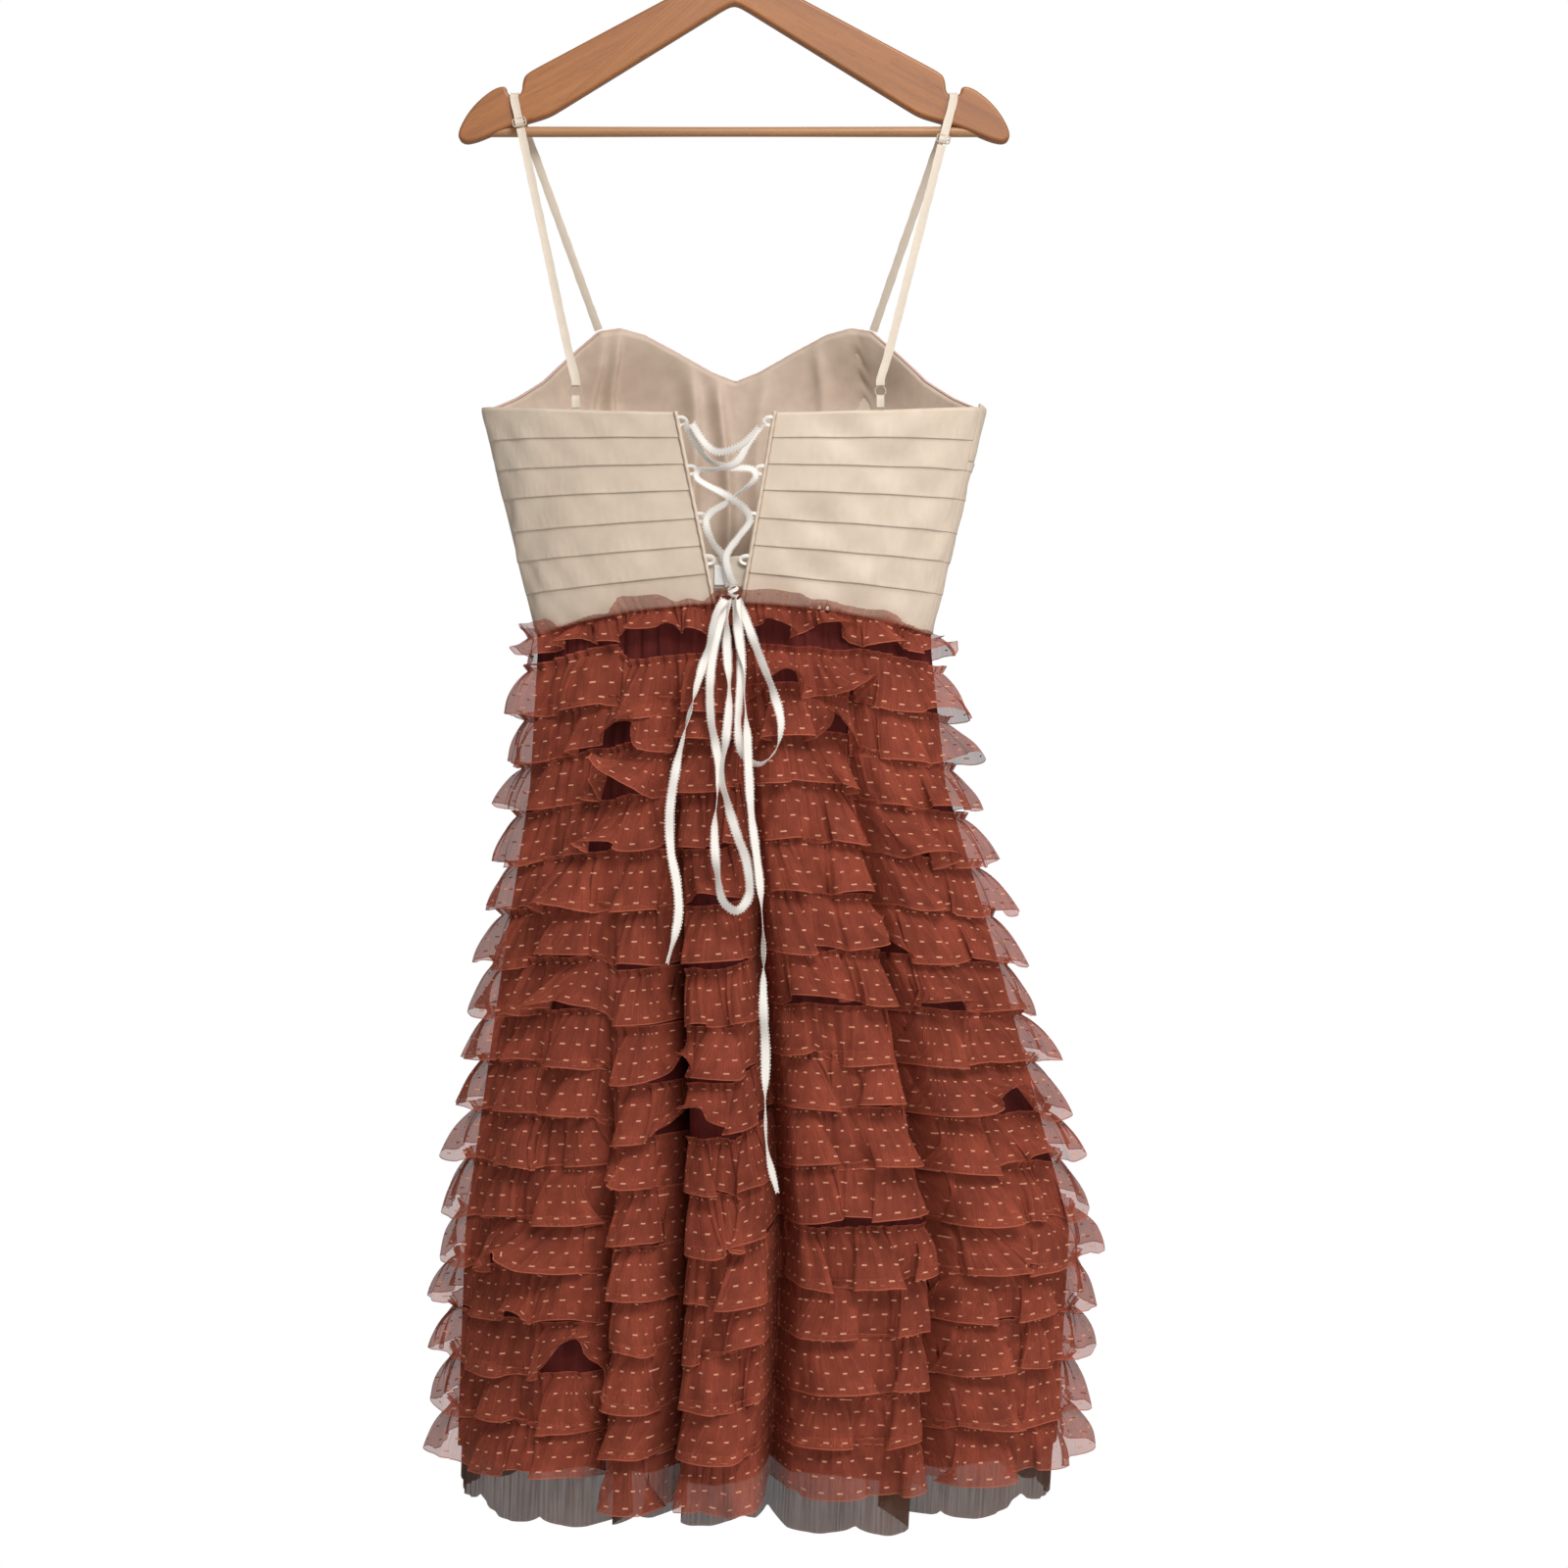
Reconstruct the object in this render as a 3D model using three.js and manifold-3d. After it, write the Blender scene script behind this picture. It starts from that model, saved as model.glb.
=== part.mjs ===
// A corset dress with a laced back and a ruffled tulle skirt, hung by its straps on a wooden hanger.
// Millimetres, +Z up. The origin is the inside of the hook's crown, where the rail bears.
// The laced back faces -Y, and +X is to the right of someone who looks at it.
// A turn is an angle in degrees round the body from the centre back, positive towards +X.

import * as THREE from "three";
import { mergeVertices } from "three/addons/utils/BufferGeometryUtils.js";
import Module from "manifold-3d";

const wasm = await Module();
wasm.setup();

// Driving sizes
const SATIN = 2; // wall of the bodice
const LINING = 1.2;
const TULLE = 1.5; // wall of each skirt layer
const RIBBON = 1.2; // thickness of the lacing ribbon
const RIBBON_WIDTH = 5.6;
const LACING_WIDTH = 4.5; // the same ribbon, pulled narrow by its loops
const SEAM = 0.4; // space between two pieces where they are sewn together
const GATHERED = 0.8; // space between the skirt and the gathered top of a ruffle
const COLUMNS = 54; // sections round the body
const TURN_STEP = 360 / COLUMNS;
const FIRST_TURN = TURN_STEP / 2;

// The bodice's half width and half depths at each height
const BODICE = [
  { z: -363, wide: 204, back: 50, front: 58 },
  { z: -438, wide: 202.5, back: 50.1, front: 60 },
  { z: -500, wide: 187.4, back: 46.6, front: 53 },
  { z: -587, wide: 166.3, back: 41.7, front: 41.7 },
  { z: -617, wide: 159, back: 40, front: 40 },
];
const WAIST = { side: -617, rise: 22 };
const BACK_TOP = { side: -436, dip: 10 };
const UNDERBUST = -480;
const RIGHT_SIDE_SEAM = FIRST_TURN + 11 * TURN_STEP;
const LEFT_SIDE_SEAM = FIRST_TURN - 14 * TURN_STEP;
const SEAM_TURN = 0.2; // half of a side seam's space, as a turn
const CUP = { turn: 29, z: -425, swell: 20, wide: 15, tall: 38 };

// The sweetheart neckline: height at each distance from the centre front
const NECKLINE = [
  { x: 0, z: -406 },
  { x: 20, z: -398 },
  { x: 50, z: -381 },
  { x: 75, z: -368 },
  { x: 95, z: -363 },
  { x: 112, z: -366 },
  { x: 130, z: -383 },
  { x: 156, z: -408 },
  { x: 180, z: -424 },
  { x: 204, z: -437 },
];

// The pin tucks, from the top: height of each fold at the side and at the centre back
const TUCKS = [
  { side: -463, centre: -466 },
  { side: -487, centre: -486 },
  { side: -510, centre: -506 },
  { side: -536.5, centre: -527 },
  { side: -560, centre: -548 },
  { side: -585.5, centre: -569 },
];
const TUCK_RELIEF = 1.6;
const TUCK_EDGE = 0.4; // half height of the step under a fold

// The laced opening of the back: x of its two edges, from the top to the waist
const OPENING = { top: -446, bottom: -597, left: [-43, -13], right: [31, 5] };
const ROLLED_EDGE = { wide: 3, proud: 2.2 };
const LOOPS = { heights: [-453, -491, -528, -561], reach: 5.5, half: 3, wire: 0.8 };

// The skirt: half width, half depth, swing to the side and depth of its folds at each height
const SKIRT = [
  { z: -587, wide: 163.9, deep: 39.3, swing: 0, fold: 0, low: 0 },
  { z: -617, wide: 156.6, deep: 37.6, swing: 0, fold: 0, low: 0 },
  { z: -737, wide: 166, deep: 62, swing: 3, fold: 9, low: 0 },
  { z: -894, wide: 201, deep: 90, swing: 14, fold: 26, low: 0 },
  { z: -1090, wide: 241, deep: 116, swing: 27, fold: 31, low: 16 },
  { z: -1310, wide: 238, deep: 127, swing: 17, fold: 32, low: 28 },
];
// The valleys between its hanging columns: those marked low open only towards the hem
const VALLEYS = [
  { turn: -33, low: true, share: 1 },
  { turn: -18, low: false, share: 0.9 },
  { turn: 3.3, low: false, share: 1 },
  { turn: 36, low: false, share: 1 },
  { turn: 136, low: false, share: 0.9 },
  { turn: 163, low: true, share: 1 },
  { turn: 190, low: false, share: 1 },
  { turn: 224, low: false, share: 0.8 },
];
const VALLEY_HALF = 13;
const SKIRT_TUCKED_IN = 8; // how far the skirt runs up inside the bodice
const PLUM_HEM = -1262;
const NET_HEM = { z: -1302, uneven: 6 };
// The first ruffles rise towards the centre back as the waist seam does, and from the twelfth on they hang level
const RUFFLES = {
  count: 16,
  firstHem: -684.5,
  step: 38.9,
  rising: 11,
  depth: 46,
  flare: 22,
  wave: 6,
  waves: 10,
  drop: 4,
};
const WAIST_FRILL = { depth: 30, flare: 20, wave: 3, waves: 12, drop: 3 };

// The hanger
const HANGER_THICK = 12;
const HALF_OUTLINE = [
  { x: 0, z: -80 },
  { x: 22, z: -86 },
  { x: 46, z: -104 },
  { x: 164, z: -167 },
  { x: 169, z: -172 },
  { x: 170, z: -186 },
  { x: 181, z: -186 },
  { x: 182, z: -178 },
  { x: 192, z: -180 },
  { x: 206, z: -191 },
  { x: 216, z: -204 },
  { x: 222, z: -218 },
  { x: 217, z: -224 },
  { x: 206, z: -222 },
  { x: 184, z: -212.5 },
  { x: 148, z: -202 },
  { x: 0, z: -110.7 },
];
const NOTCH = { x: 175.5, floor: -186 };
const CROSSBAR = { z: -214, radius: 4, half: 197, bored: 0.4 };
const HOOK = { wire: 1.8, inside: 20, tip: 205, foot: -40, seated: -94, bored: 0.35 };

// The straps and their fittings, right and left of the wearer as seen from the back
const STRAP = { wide: 7.5, thick: 1.5, clear: 1.4 };
const SHOULDERS = [
  { side: "left", sign: -1, frontX: 112, ringX: 125, sliderZ: -209 },
  { side: "right", sign: 1, frontX: 113, ringX: 117, sliderZ: -223 },
];
const RING = { radius: 4.2, wire: 0.7, z: -428.2 };
const SLIDER = { wide: 12, tall: 8, bar: 1.4, thick: 1.2 };

// How far the ruffles stand out from the centre at each height, where the ribbons hang on them
const RIBBON_LAY = [
  { z: -590, y: 44 },
  { z: -603, y: 53 },
  { z: -632, y: 66 },
  { z: -684, y: 84 },
  { z: -737, y: 95 },
  { z: -894, y: 123 },
  { z: -1090, y: 150 },
];
const KNOT = { x: 0, y: -50, z: -587, half: [6.5, 4, 5] };

// Routes of the hanging ribbon, chosen by hand: x, z and how far it lies over the one beneath
const RIBBON_ROUTES = {
  ribbon_end_left: [
    [-6.4, -593, 4.7], [-12.6, -604, 4.7], [-18, -630, 4.4], [-26, -657, 4.4], [-35, -693, 4.4],
    [-43, -728, 3], [-47, -759, 2], [-46, -788, 1], [-41, -814, 1], [-40, -838, 1], [-48, -872, 1],
  ],
  bow_loop_long: [
    [-3.5, -593, 0], [-8, -606, 0], [-14, -630, 0], [-17, -657, 0], [-16, -688, 0], [-10, -722, 0],
    [-11, -745, 0], [-13, -775, 0], [-11, -802, 0], [-6, -826, 0.6], [4, -833, 1.2], [13, -823, 1.8],
    [12, -798, 2.2], [4, -775, 2.2], [-3, -752, 2.2], [-8, -730, 2.2], [-5, -707, 2.2], [-2, -670, 2.2],
    [-4, -635, 2.2], [-4.5, -608, 2.2], [-3.2, -593, 2.2],
  ],
  bow_loop_short: [
    [3, -593, 0], [9, -606, 0], [20, -635, 0], [32, -667, 0], [37.7, -691, 0], [33, -712, 0],
    [21, -722, 0.8], [9, -715, 1.6], [4.8, -694, 2.2], [6, -668, 2.2], [7, -640, 2.2], [4, -610, 2.2],
    [3, -593, 2.2],
  ],
  ribbon_end_right: [
    [1.2, -593, 4.4], [3, -608, 4.4], [6, -632, 4.4], [9, -663, 4.4], [11.5, -694, 4.4], [13, -727, 4.4],
    [15, -759, 4.4], [19, -790, 4.4], [22, -816, 4.4], [24.5, -861, 3], [24.5, -905, 2], [26, -934, 1],
    [26, -979, 1], [27.5, -1010, 1], [35, -1041, 1],
  ],
};
const LACING_SPACING = 8;
const RIBBON_SPACING = 13; // a section every so many millimetres

// Routes of the lacing between its loops: x and z, and how proud of the back each one lies
const LACING_ROUTES = {
  lacing_top: { proud: 5.7, points: [[-31, -456], [-22, -470], [-14, -477], [-4, -477], [8, -471], [19.5, -459]] },
  lacing_left: {
    proud: 1.7,
    points: [
      [-37, -455], [-28, -472], [-18, -484], [-4, -489], [15, -491], [18, -496], [-1, -514], [-19, -526],
      [-21, -532], [-15, -549], [-8, -558], [-5, -572], [-3, -581],
    ],
  },
  lacing_right: {
    proud: 3.7,
    points: [
      [25, -455], [13, -469], [3, -485], [-12, -491], [-27, -492], [-28, -497], [-2, -513],
      [11, -524], [13, -531], [4, -544], [-5, -558], [-3, -572], [0.5, -580.5],
    ],
  },
};
const WAIST_STAY = { top: -558, bottom: -583, columns: [-4, 2] };
const LABEL = { left: -15, right: -5, top: -565, bottom: -581 };

// Finishes
const finish = (color, roughness, metalness = 0) => new THREE.MeshStandardMaterial({ color, roughness, metalness });
const satin = finish("#d7c4af", 0.4);
const lining = finish("#cdb9a6", 0.45);
const rustTulle = finish("#96463a", 0.8);
const plum = finish("#551e23", 0.75);
const greyNet = finish("#6e5546", 0.85);
const ivory = finish("#f5eee4", 0.6);
const wood = finish("#be8250", 0.45);
const steel = finish("#b9bcc0", 0.25, 1);
const fitting = finish("#c9b9a8", 0.35);

// A row between two rows of a table that is sorted by one of its columns
function at(table, key, value) {
  const falls = table[0][key] > table[1][key];
  const above = (row) => (falls ? row[key] <= value : row[key] >= value);
  const found = table.findIndex(above);
  const last = found < 0 ? table.length - 1 : Math.max(found, 1);
  const [low, high] = [table[last - 1], table[last]];
  const share = (value - low[key]) / (high[key] - low[key]);
  const row = {};
  for (const name of Object.keys(low)) row[name] = low[name] + (high[name] - low[name]) * share;
  return row;
}

const turnsBetween = (from, to) => {
  const turns = [];
  for (let turn = from; turn <= to + 1e-9; turn += TURN_STEP) turns.push(turn);
  return turns;
};
const ringTurns = () => turnsBetween(FIRST_TURN, FIRST_TURN + 360 - TURN_STEP);
const sine = (turn) => Math.sin(THREE.MathUtils.degToRad(turn));
const cosine = (turn) => Math.cos(THREE.MathUtils.degToRad(turn));
const bell = (distance, width) => Math.exp(-((distance / width) ** 2));

// A solid through a row of closed sections with as many points each, a ring or capped at both ends.
// Each square is split along the diagonal that lies nearer to the body, so that a wall keeps its
// thickness and what is sewn on at its corners stays clear of it.
// The flat outline, where it is given, is the section laid out in two numbers a point.
function sweep(sections, { ring = false, outline = null, wall = false } = {}) {
  const count = sections[0].length;
  const points = sections.flat();
  const positions = points.flatMap((point) => [point.x, point.y, point.z]);
  const fromBody = (a, b) => Math.hypot(points[a].x + points[b].x, points[a].y + points[b].y);
  const index = [];
  const strips = ring ? sections.length : sections.length - 1;
  for (let strip = 0; strip < strips; strip++) {
    const here = strip * count;
    const next = ((strip + 1) % sections.length) * count;
    for (let i = 0; i < count; i++) {
      const [a, b, c, d] = [here + i, here + ((i + 1) % count), next + i, next + ((i + 1) % count)];
      if (fromBody(b, c) <= fromBody(a, d)) index.push(a, b, c, c, b, d);
      else index.push(a, b, d, a, d, c);
    }
  }
  if (!ring) {
    const fan = Array.from({ length: count - 2 }, (_, i) => [0, i + 1, i + 2]);
    const flat = outline && outline.map(([u, v]) => new THREE.Vector2(u, v));
    const shaped = flat ? THREE.ShapeUtils.triangulateShape(flat, []) : fan;
    const cap = wall ? acrossWall(count / 2) : shaped;
    const end = (sections.length - 1) * count;
    for (const face of cap) {
      const [a, b, c] = [...face].sort((p, q) => p - q);
      index.push(a, c, b, end + a, end + b, end + c);
    }
  }
  const geometry = new THREE.BufferGeometry();
  geometry.setAttribute("position", new THREE.Float32BufferAttribute(positions, 3));
  geometry.setIndex(facingOut(positions, index));
  geometry.computeVertexNormals();
  return geometry;
}

// The end of a wall whose corners go up its outside and down its inside, closed from one face to the other
function acrossWall(rows) {
  const pairs = Array.from({ length: rows - 1 }, (_, i) => [i, i + 1, 2 * rows - 2 - i, 2 * rows - 1 - i]);
  return pairs.flatMap(([a, b, c, d]) => [[a, b, c], [a, c, d]]);
}

// The same triangles, turned round where they face inwards
function facingOut(positions, index) {
  const corner = (i) => new THREE.Vector3().fromArray(positions, index[i] * 3);
  let volume = 0;
  for (let i = 0; i < index.length; i += 3) {
    volume += corner(i).dot(corner(i + 1).cross(corner(i + 2)));
  }
  return volume > 0 ? index : index.reverse();
}

// A flat band along a row of points: it faces the back, or its width lies across
function band(points, wide, thick, across = null) {
  const sections = points.map((point, i) => {
    const before = points[Math.max(i - 1, 0)];
    const after = points[Math.min(i + 1, points.length - 1)];
    const along = new THREE.Vector3().subVectors(after, before).normalize();
    const given = (across ?? new THREE.Vector3(0, -1, 0)).clone();
    const first = given.addScaledVector(along, -given.dot(along)).normalize();
    const second = new THREE.Vector3().crossVectors(along, first);
    const side = across ? first : second;
    const out = across ? second : first;
    const corner = (u, v) => point.clone().addScaledVector(side, (u * wide) / 2).addScaledVector(out, (v * thick) / 2);
    return [corner(-1, -1), corner(1, -1), corner(1, 1), corner(-1, 1)];
  });
  return sweep(sections);
}

const spaced = (points, spacing) => {
  const curve = new THREE.CatmullRomCurve3(points, false, "centripetal");
  return curve.getSpacedPoints(Math.max(2, Math.round(curve.getLength() / spacing)));
};

// Boolean work
function solidOf(geometry) {
  const bare = geometry.clone();
  bare.deleteAttribute("normal");
  bare.deleteAttribute("uv");
  const merged = mergeVertices(bare, 1e-4);
  const vertProperties = new Float32Array(merged.attributes.position.array);
  const triVerts = new Uint32Array(merged.index.array);
  return new wasm.Manifold(new wasm.Mesh({ numProp: 3, vertProperties, triVerts }));
}

function geometryOf(solid) {
  const mesh = solid.getMesh();
  const geometry = new THREE.BufferGeometry();
  geometry.setAttribute("position", new THREE.BufferAttribute(mesh.vertProperties, 3));
  geometry.setIndex(new THREE.BufferAttribute(mesh.triVerts, 1));
  geometry.computeVertexNormals();
  return geometry;
}

const dress = new THREE.Group();
function add(name, geometry, material) {
  const mesh = new THREE.Mesh(geometry, material);
  mesh.name = name;
  dress.add(mesh);
  return mesh;
}

// The bodice's surface: out is how far a point stands outside it
function bodicePoint(turn, z, out = 0) {
  const { wide, back, front } = at(BODICE, "z", z);
  const fromFront = 180 - Math.abs(((turn + 180) % 360) - 180);
  const swell = CUP.swell * bell(fromFront - CUP.turn, CUP.wide) * bell(z - CUP.z, CUP.tall);
  const rear = cosine(turn) > 0;
  const proud = out + (rear ? 0 : swell);
  return new THREE.Vector3((wide + proud) * sine(turn), -((rear ? back : front) + proud) * cosine(turn), z);
}

const waistEdge = (turn) => {
  const level = cosine(RIGHT_SIDE_SEAM);
  return WAIST.side + WAIST.rise * Math.max(0, (cosine(turn) - level) / (1 - level)) ** 1.5;
};
const backTop = (turn) => BACK_TOP.side - BACK_TOP.dip * cosine(turn) ** 2;
const neckline = (turn) => at(NECKLINE, "x", Math.abs(sine(turn)) * BODICE[0].wide).z;
const tuckAt = (tuck, turn) => tuck.centre + (tuck.side - tuck.centre) * Math.abs(sine(turn));

// A wall's section as pairs of height and stand-out: folded tucks outside, plain inside
function tuckedProfile(top, bottom, folds, inside) {
  const outer = [[top, TUCK_RELIEF / 2]];
  for (const fold of folds) outer.push([fold + TUCK_EDGE, TUCK_RELIEF], [fold - TUCK_EDGE, 0]);
  outer.push([bottom, TUCK_RELIEF / 2]);
  return [...outer, ...inside.map((z) => [z, -SATIN])];
}

function openingEdge(side, z, inwards) {
  const [top, bottom] = OPENING[side];
  const share = (OPENING.top - z) / (OPENING.top - OPENING.bottom);
  const x = top + (bottom - top) * share + (side === "left" ? -inwards : inwards);
  return THREE.MathUtils.radToDeg(Math.asin(x / at(BODICE, "z", z).wide));
}

const FIRST_COLUMN = 15; // the first whole turn beside the opening, where the panels' columns begin

// The two back panels, from the rolled edge of the laced opening to the side seam
function backPanel(side) {
  const edge = (z) => openingEdge(side, z, ROLLED_EDGE.wide + SEAM);
  const columns =
    side === "left"
      ? turnsBetween(LEFT_SIDE_SEAM + TURN_STEP, -FIRST_COLUMN).reverse().concat(LEFT_SIDE_SEAM + SEAM_TURN)
      : turnsBetween(FIRST_TURN, RIGHT_SIDE_SEAM - TURN_STEP)
          .filter((turn) => turn > FIRST_COLUMN)
          .concat(RIGHT_SIDE_SEAM - SEAM_TURN);
  const profileAt = (turn) => {
    const [top, bottom] = [backTop(turn), waistEdge(turn)];
    return tuckedProfile(top, bottom, TUCKS.map((tuck) => tuckAt(tuck, turn)), [bottom, top]);
  };
  const middle = edge((OPENING.top + OPENING.bottom) / 2);
  const first = profileAt(middle).map(([z, out]) => bodicePoint(edge(z), z, out));
  const rest = columns.map((turn) => profileAt(turn).map(([z, out]) => bodicePoint(turn, z, out)));
  return sweep([first, ...rest], { outline: profileAt(middle) });
}

// The rolled edge of the opening, with the ribbon loops sewn into it
function rolledEdge(side) {
  const middle = openingEdge(side, (OPENING.top + OPENING.bottom) / 2, 0);
  const [top, bottom] = [backTop(middle), waistEdge(middle)];
  const profile = [
    [top, ROLLED_EDGE.proud],
    [bottom, ROLLED_EDGE.proud],
    [bottom, -SATIN],
    [top, -SATIN],
  ];
  const column = (inwards) => profile.map(([z, out]) => bodicePoint(openingEdge(side, z, inwards), z, out));
  let solid = solidOf(sweep([column(0), column(ROLLED_EDGE.wide)], { outline: profile }));
  const into = side === "left" ? 1 : -1;
  for (const z of LOOPS.heights) {
    const root = bodicePoint(openingEdge(side, z, ROLLED_EDGE.wide / 2), z);
    const reach = LOOPS.reach + ROLLED_EDGE.wide / 2;
    const bend = [
      [0, 1], [0.5, 1], [0.88, 0.6], [1, 0], [0.88, -0.6], [0.5, -1], [0, -1],
    ].map(([u, v]) => root.clone().add(new THREE.Vector3(into * u * reach, 0, v * LOOPS.half)));
    const wire = band(bend, LOOPS.wire * 2, LOOPS.wire * 2);
    solid = solid.add(solidOf(wire));
  }
  return geometryOf(solid);
}

// The front: a tucked midriff and two cups, with the satin lining that shows above the back's edge
const frontFrom = RIGHT_SIDE_SEAM;
const frontTo = LEFT_SIDE_SEAM + 360;
const frontColumns = (from, to) => {
  const inner = turnsBetween(frontFrom, frontTo).filter((turn) => turn > from + 1 && turn < to - 1);
  return [from, ...inner, to];
};

function midriff() {
  const folds = TUCKS.slice(1).map((tuck) => tuck.side);
  const top = UNDERBUST - SEAM / 2;
  const [waist, hip] = [BODICE[4].z, BODICE[3].z];
  const profile = tuckedProfile(top, waist, folds, [waist, hip, BODICE[2].z, top]);
  const columns = frontColumns(frontFrom + SEAM_TURN, frontTo - SEAM_TURN);
  return sweep(columns.map((turn) => profile.map(([z, out]) => bodicePoint(turn, z, out))), { outline: profile });
}

const CUP_ROWS = 5;
const cupHeights = (turn) => {
  const rows = Array.from({ length: CUP_ROWS + 1 }, (_, i) => i / CUP_ROWS);
  return rows.map((share) => UNDERBUST + SEAM / 2 + (neckline(turn) - UNDERBUST - SEAM / 2) * share);
};

function wallBetween(turns, heightsAt, outer, inner) {
  const profileAt = (turn) => {
    const heights = heightsAt(turn);
    return [...heights.map((z) => [z, outer]), ...[...heights].reverse().map((z) => [z, inner])];
  };
  const sections = turns.map((turn) => profileAt(turn).map(([z, out]) => bodicePoint(turn, z, out)));
  return sweep(sections, { outline: profileAt(turns[0]), wall: true });
}

function frontLining() {
  const lower = [-600, BODICE[3].z, BODICE[2].z];
  const heights = (turn) => [...lower, ...cupHeights(turn)].map((z) => Math.min(z, neckline(turn) - SEAM));
  // One more column at the centre front, so that the lining goes in with the cups where they meet
  const columns = [...frontColumns(frontFrom + TURN_STEP, frontTo - TURN_STEP), 180].sort((a, b) => a - b);
  const outside = -SATIN - GATHERED - SEAM;
  return wallBetween(columns, heights, outside, outside - LINING);
}

add("back_left", backPanel("left"), satin);
add("back_right", backPanel("right"), satin);
add("lacing_edge_left", rolledEdge("left"), satin);
add("lacing_edge_right", rolledEdge("right"), satin);
add("front_midriff", midriff(), satin);
add("cup_right", wallBetween(frontColumns(frontFrom + SEAM_TURN, 180 - SEAM_TURN), cupHeights, 0, -SATIN), satin);
add("cup_left", wallBetween(frontColumns(180 + SEAM_TURN, frontTo - SEAM_TURN), cupHeights, 0, -SATIN), satin);
add("front_lining", frontLining(), lining);

// The stay inside the waist, which shows in the opening, and the blank label on it
const stayInside = -SATIN - SEAM;
const stayRows = () => [WAIST_STAY.bottom, WAIST_STAY.top];
const [stayFrom, stayTo] = WAIST_STAY.columns.map((column) => FIRST_TURN + column * TURN_STEP);
const stayTurns = turnsBetween(stayFrom, stayTo);
add("waist_stay", wallBetween(stayTurns, stayRows, stayInside, stayInside - TULLE), ivory);
const labelCorners = (x) => {
  const corners = [
    [LABEL.top, stayInside + 1.1],
    [LABEL.bottom, stayInside + 1.1],
    [LABEL.bottom, stayInside + SEAM],
    [LABEL.top, stayInside + SEAM],
  ];
  return corners.map(([z, out]) => {
    const point = bodicePoint(0, z, out);
    const { wide } = at(BODICE, "z", z);
    return point.setX(x).setY(point.y * Math.sqrt(1 - (x / wide) ** 2));
  });
};
add("label", sweep([labelCorners(LABEL.left), labelCorners(LABEL.right)]), ivory);

// The skirt's surface, with its valleys: out is how far a point stands outside the plum layer
function skirtPoint(turn, z, out = 0) {
  const { wide, deep, swing, fold, low } = at(SKIRT, "z", z);
  let valley = 0;
  for (const each of VALLEYS) {
    const away = Math.abs(((turn - each.turn + 540) % 360) - 180);
    valley += each.share * (each.low ? low : fold) * Math.max(0, 1 - away / VALLEY_HALF);
  }
  const proud = out - valley;
  return new THREE.Vector3(swing + (wide + proud) * sine(turn), -(deep + proud) * cosine(turn), z);
}

const skirtWall = (heightsAt, outer) =>
  sweep(
    ringTurns().map((turn) => {
      const heights = heightsAt(turn);
      const outside = heights.map((z) => skirtPoint(turn, z, outer));
      const inside = heights.map((z) => skirtPoint(turn, z, outer - TULLE));
      return [...outside, ...inside.reverse()];
    }),
    { ring: true },
  );
const skirtRows = SKIRT.slice(1, -1).map((row) => row.z);
const skirtTop = (turn) => waistEdge(turn) + SKIRT_TUCKED_IN;
const netHem = (turn) => NET_HEM.z + NET_HEM.uneven * cosine(turn * 5 + 40);
add("skirt_plum", skirtWall((turn) => [skirtTop(turn), ...skirtRows, PLUM_HEM], 0), plum);
add("skirt_net", skirtWall((turn) => [skirtTop(turn), ...skirtRows, netHem(turn)], -TULLE - SEAM), greyNet);

// A gathered ruffle: sewn on at its top, and flaring to a waved hem
function ruffle(topAt, hemAt, { flare, wave, waves, drop }, phase) {
  return sweep(
    ringTurns().map((turn) => {
      const hem = flare + wave * cosine(waves * turn + phase);
      const z = hemAt(turn) + drop * sine((waves / 2) * turn + phase);
      const top = topAt(turn);
      return [
        skirtPoint(turn, top, GATHERED + TULLE),
        skirtPoint(turn, z, hem + TULLE),
        skirtPoint(turn, z, hem),
        skirtPoint(turn, top, GATHERED),
      ];
    }),
    { ring: true },
  );
}

const PHASE_STEP = 137.5;
for (let tier = 0; tier < RUFFLES.count; tier++) {
  const rising = Math.max(0, 1 - tier / RUFFLES.rising);
  const hem = (turn) => RUFFLES.firstHem - RUFFLES.step * tier + (waistEdge(turn) - WAIST.side) * rising;
  const name = "ruffle_" + String(tier + 1).padStart(2, "0");
  add(name, ruffle((turn) => hem(turn) + RUFFLES.depth, hem, RUFFLES, tier * PHASE_STEP), rustTulle);
}
const frillTop = (turn) => waistEdge(turn) - SEAM * 2;
add("waist_frill", ruffle(frillTop, (turn) => frillTop(turn) - WAIST_FRILL.depth, WAIST_FRILL, 0), rustTulle);

// The lacing, its knot, and the hanging loops and ends of the bow
for (const [name, { proud, points }] of Object.entries(LACING_ROUTES)) {
  const route = points.map(([x, z]) => {
    const { wide } = at(BODICE, "z", z);
    return bodicePoint(THREE.MathUtils.radToDeg(Math.asin(x / wide)), z, proud);
  });
  add(name, band(spaced(route, LACING_SPACING), LACING_WIDTH, RIBBON), ivory);
}
const knot = new THREE.SphereGeometry(1, 10, 7).scale(...KNOT.half).translate(KNOT.x, KNOT.y, KNOT.z);
add("bow_knot", knot, ivory);
for (const [name, points] of Object.entries(RIBBON_ROUTES)) {
  const route = points.map(([x, z, over]) => new THREE.Vector3(x, -at(RIBBON_LAY, "z", z).y - over, z));
  add(name, band(spaced(route, RIBBON_SPACING), RIBBON_WIDTH, RIBBON), ivory);
}

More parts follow.
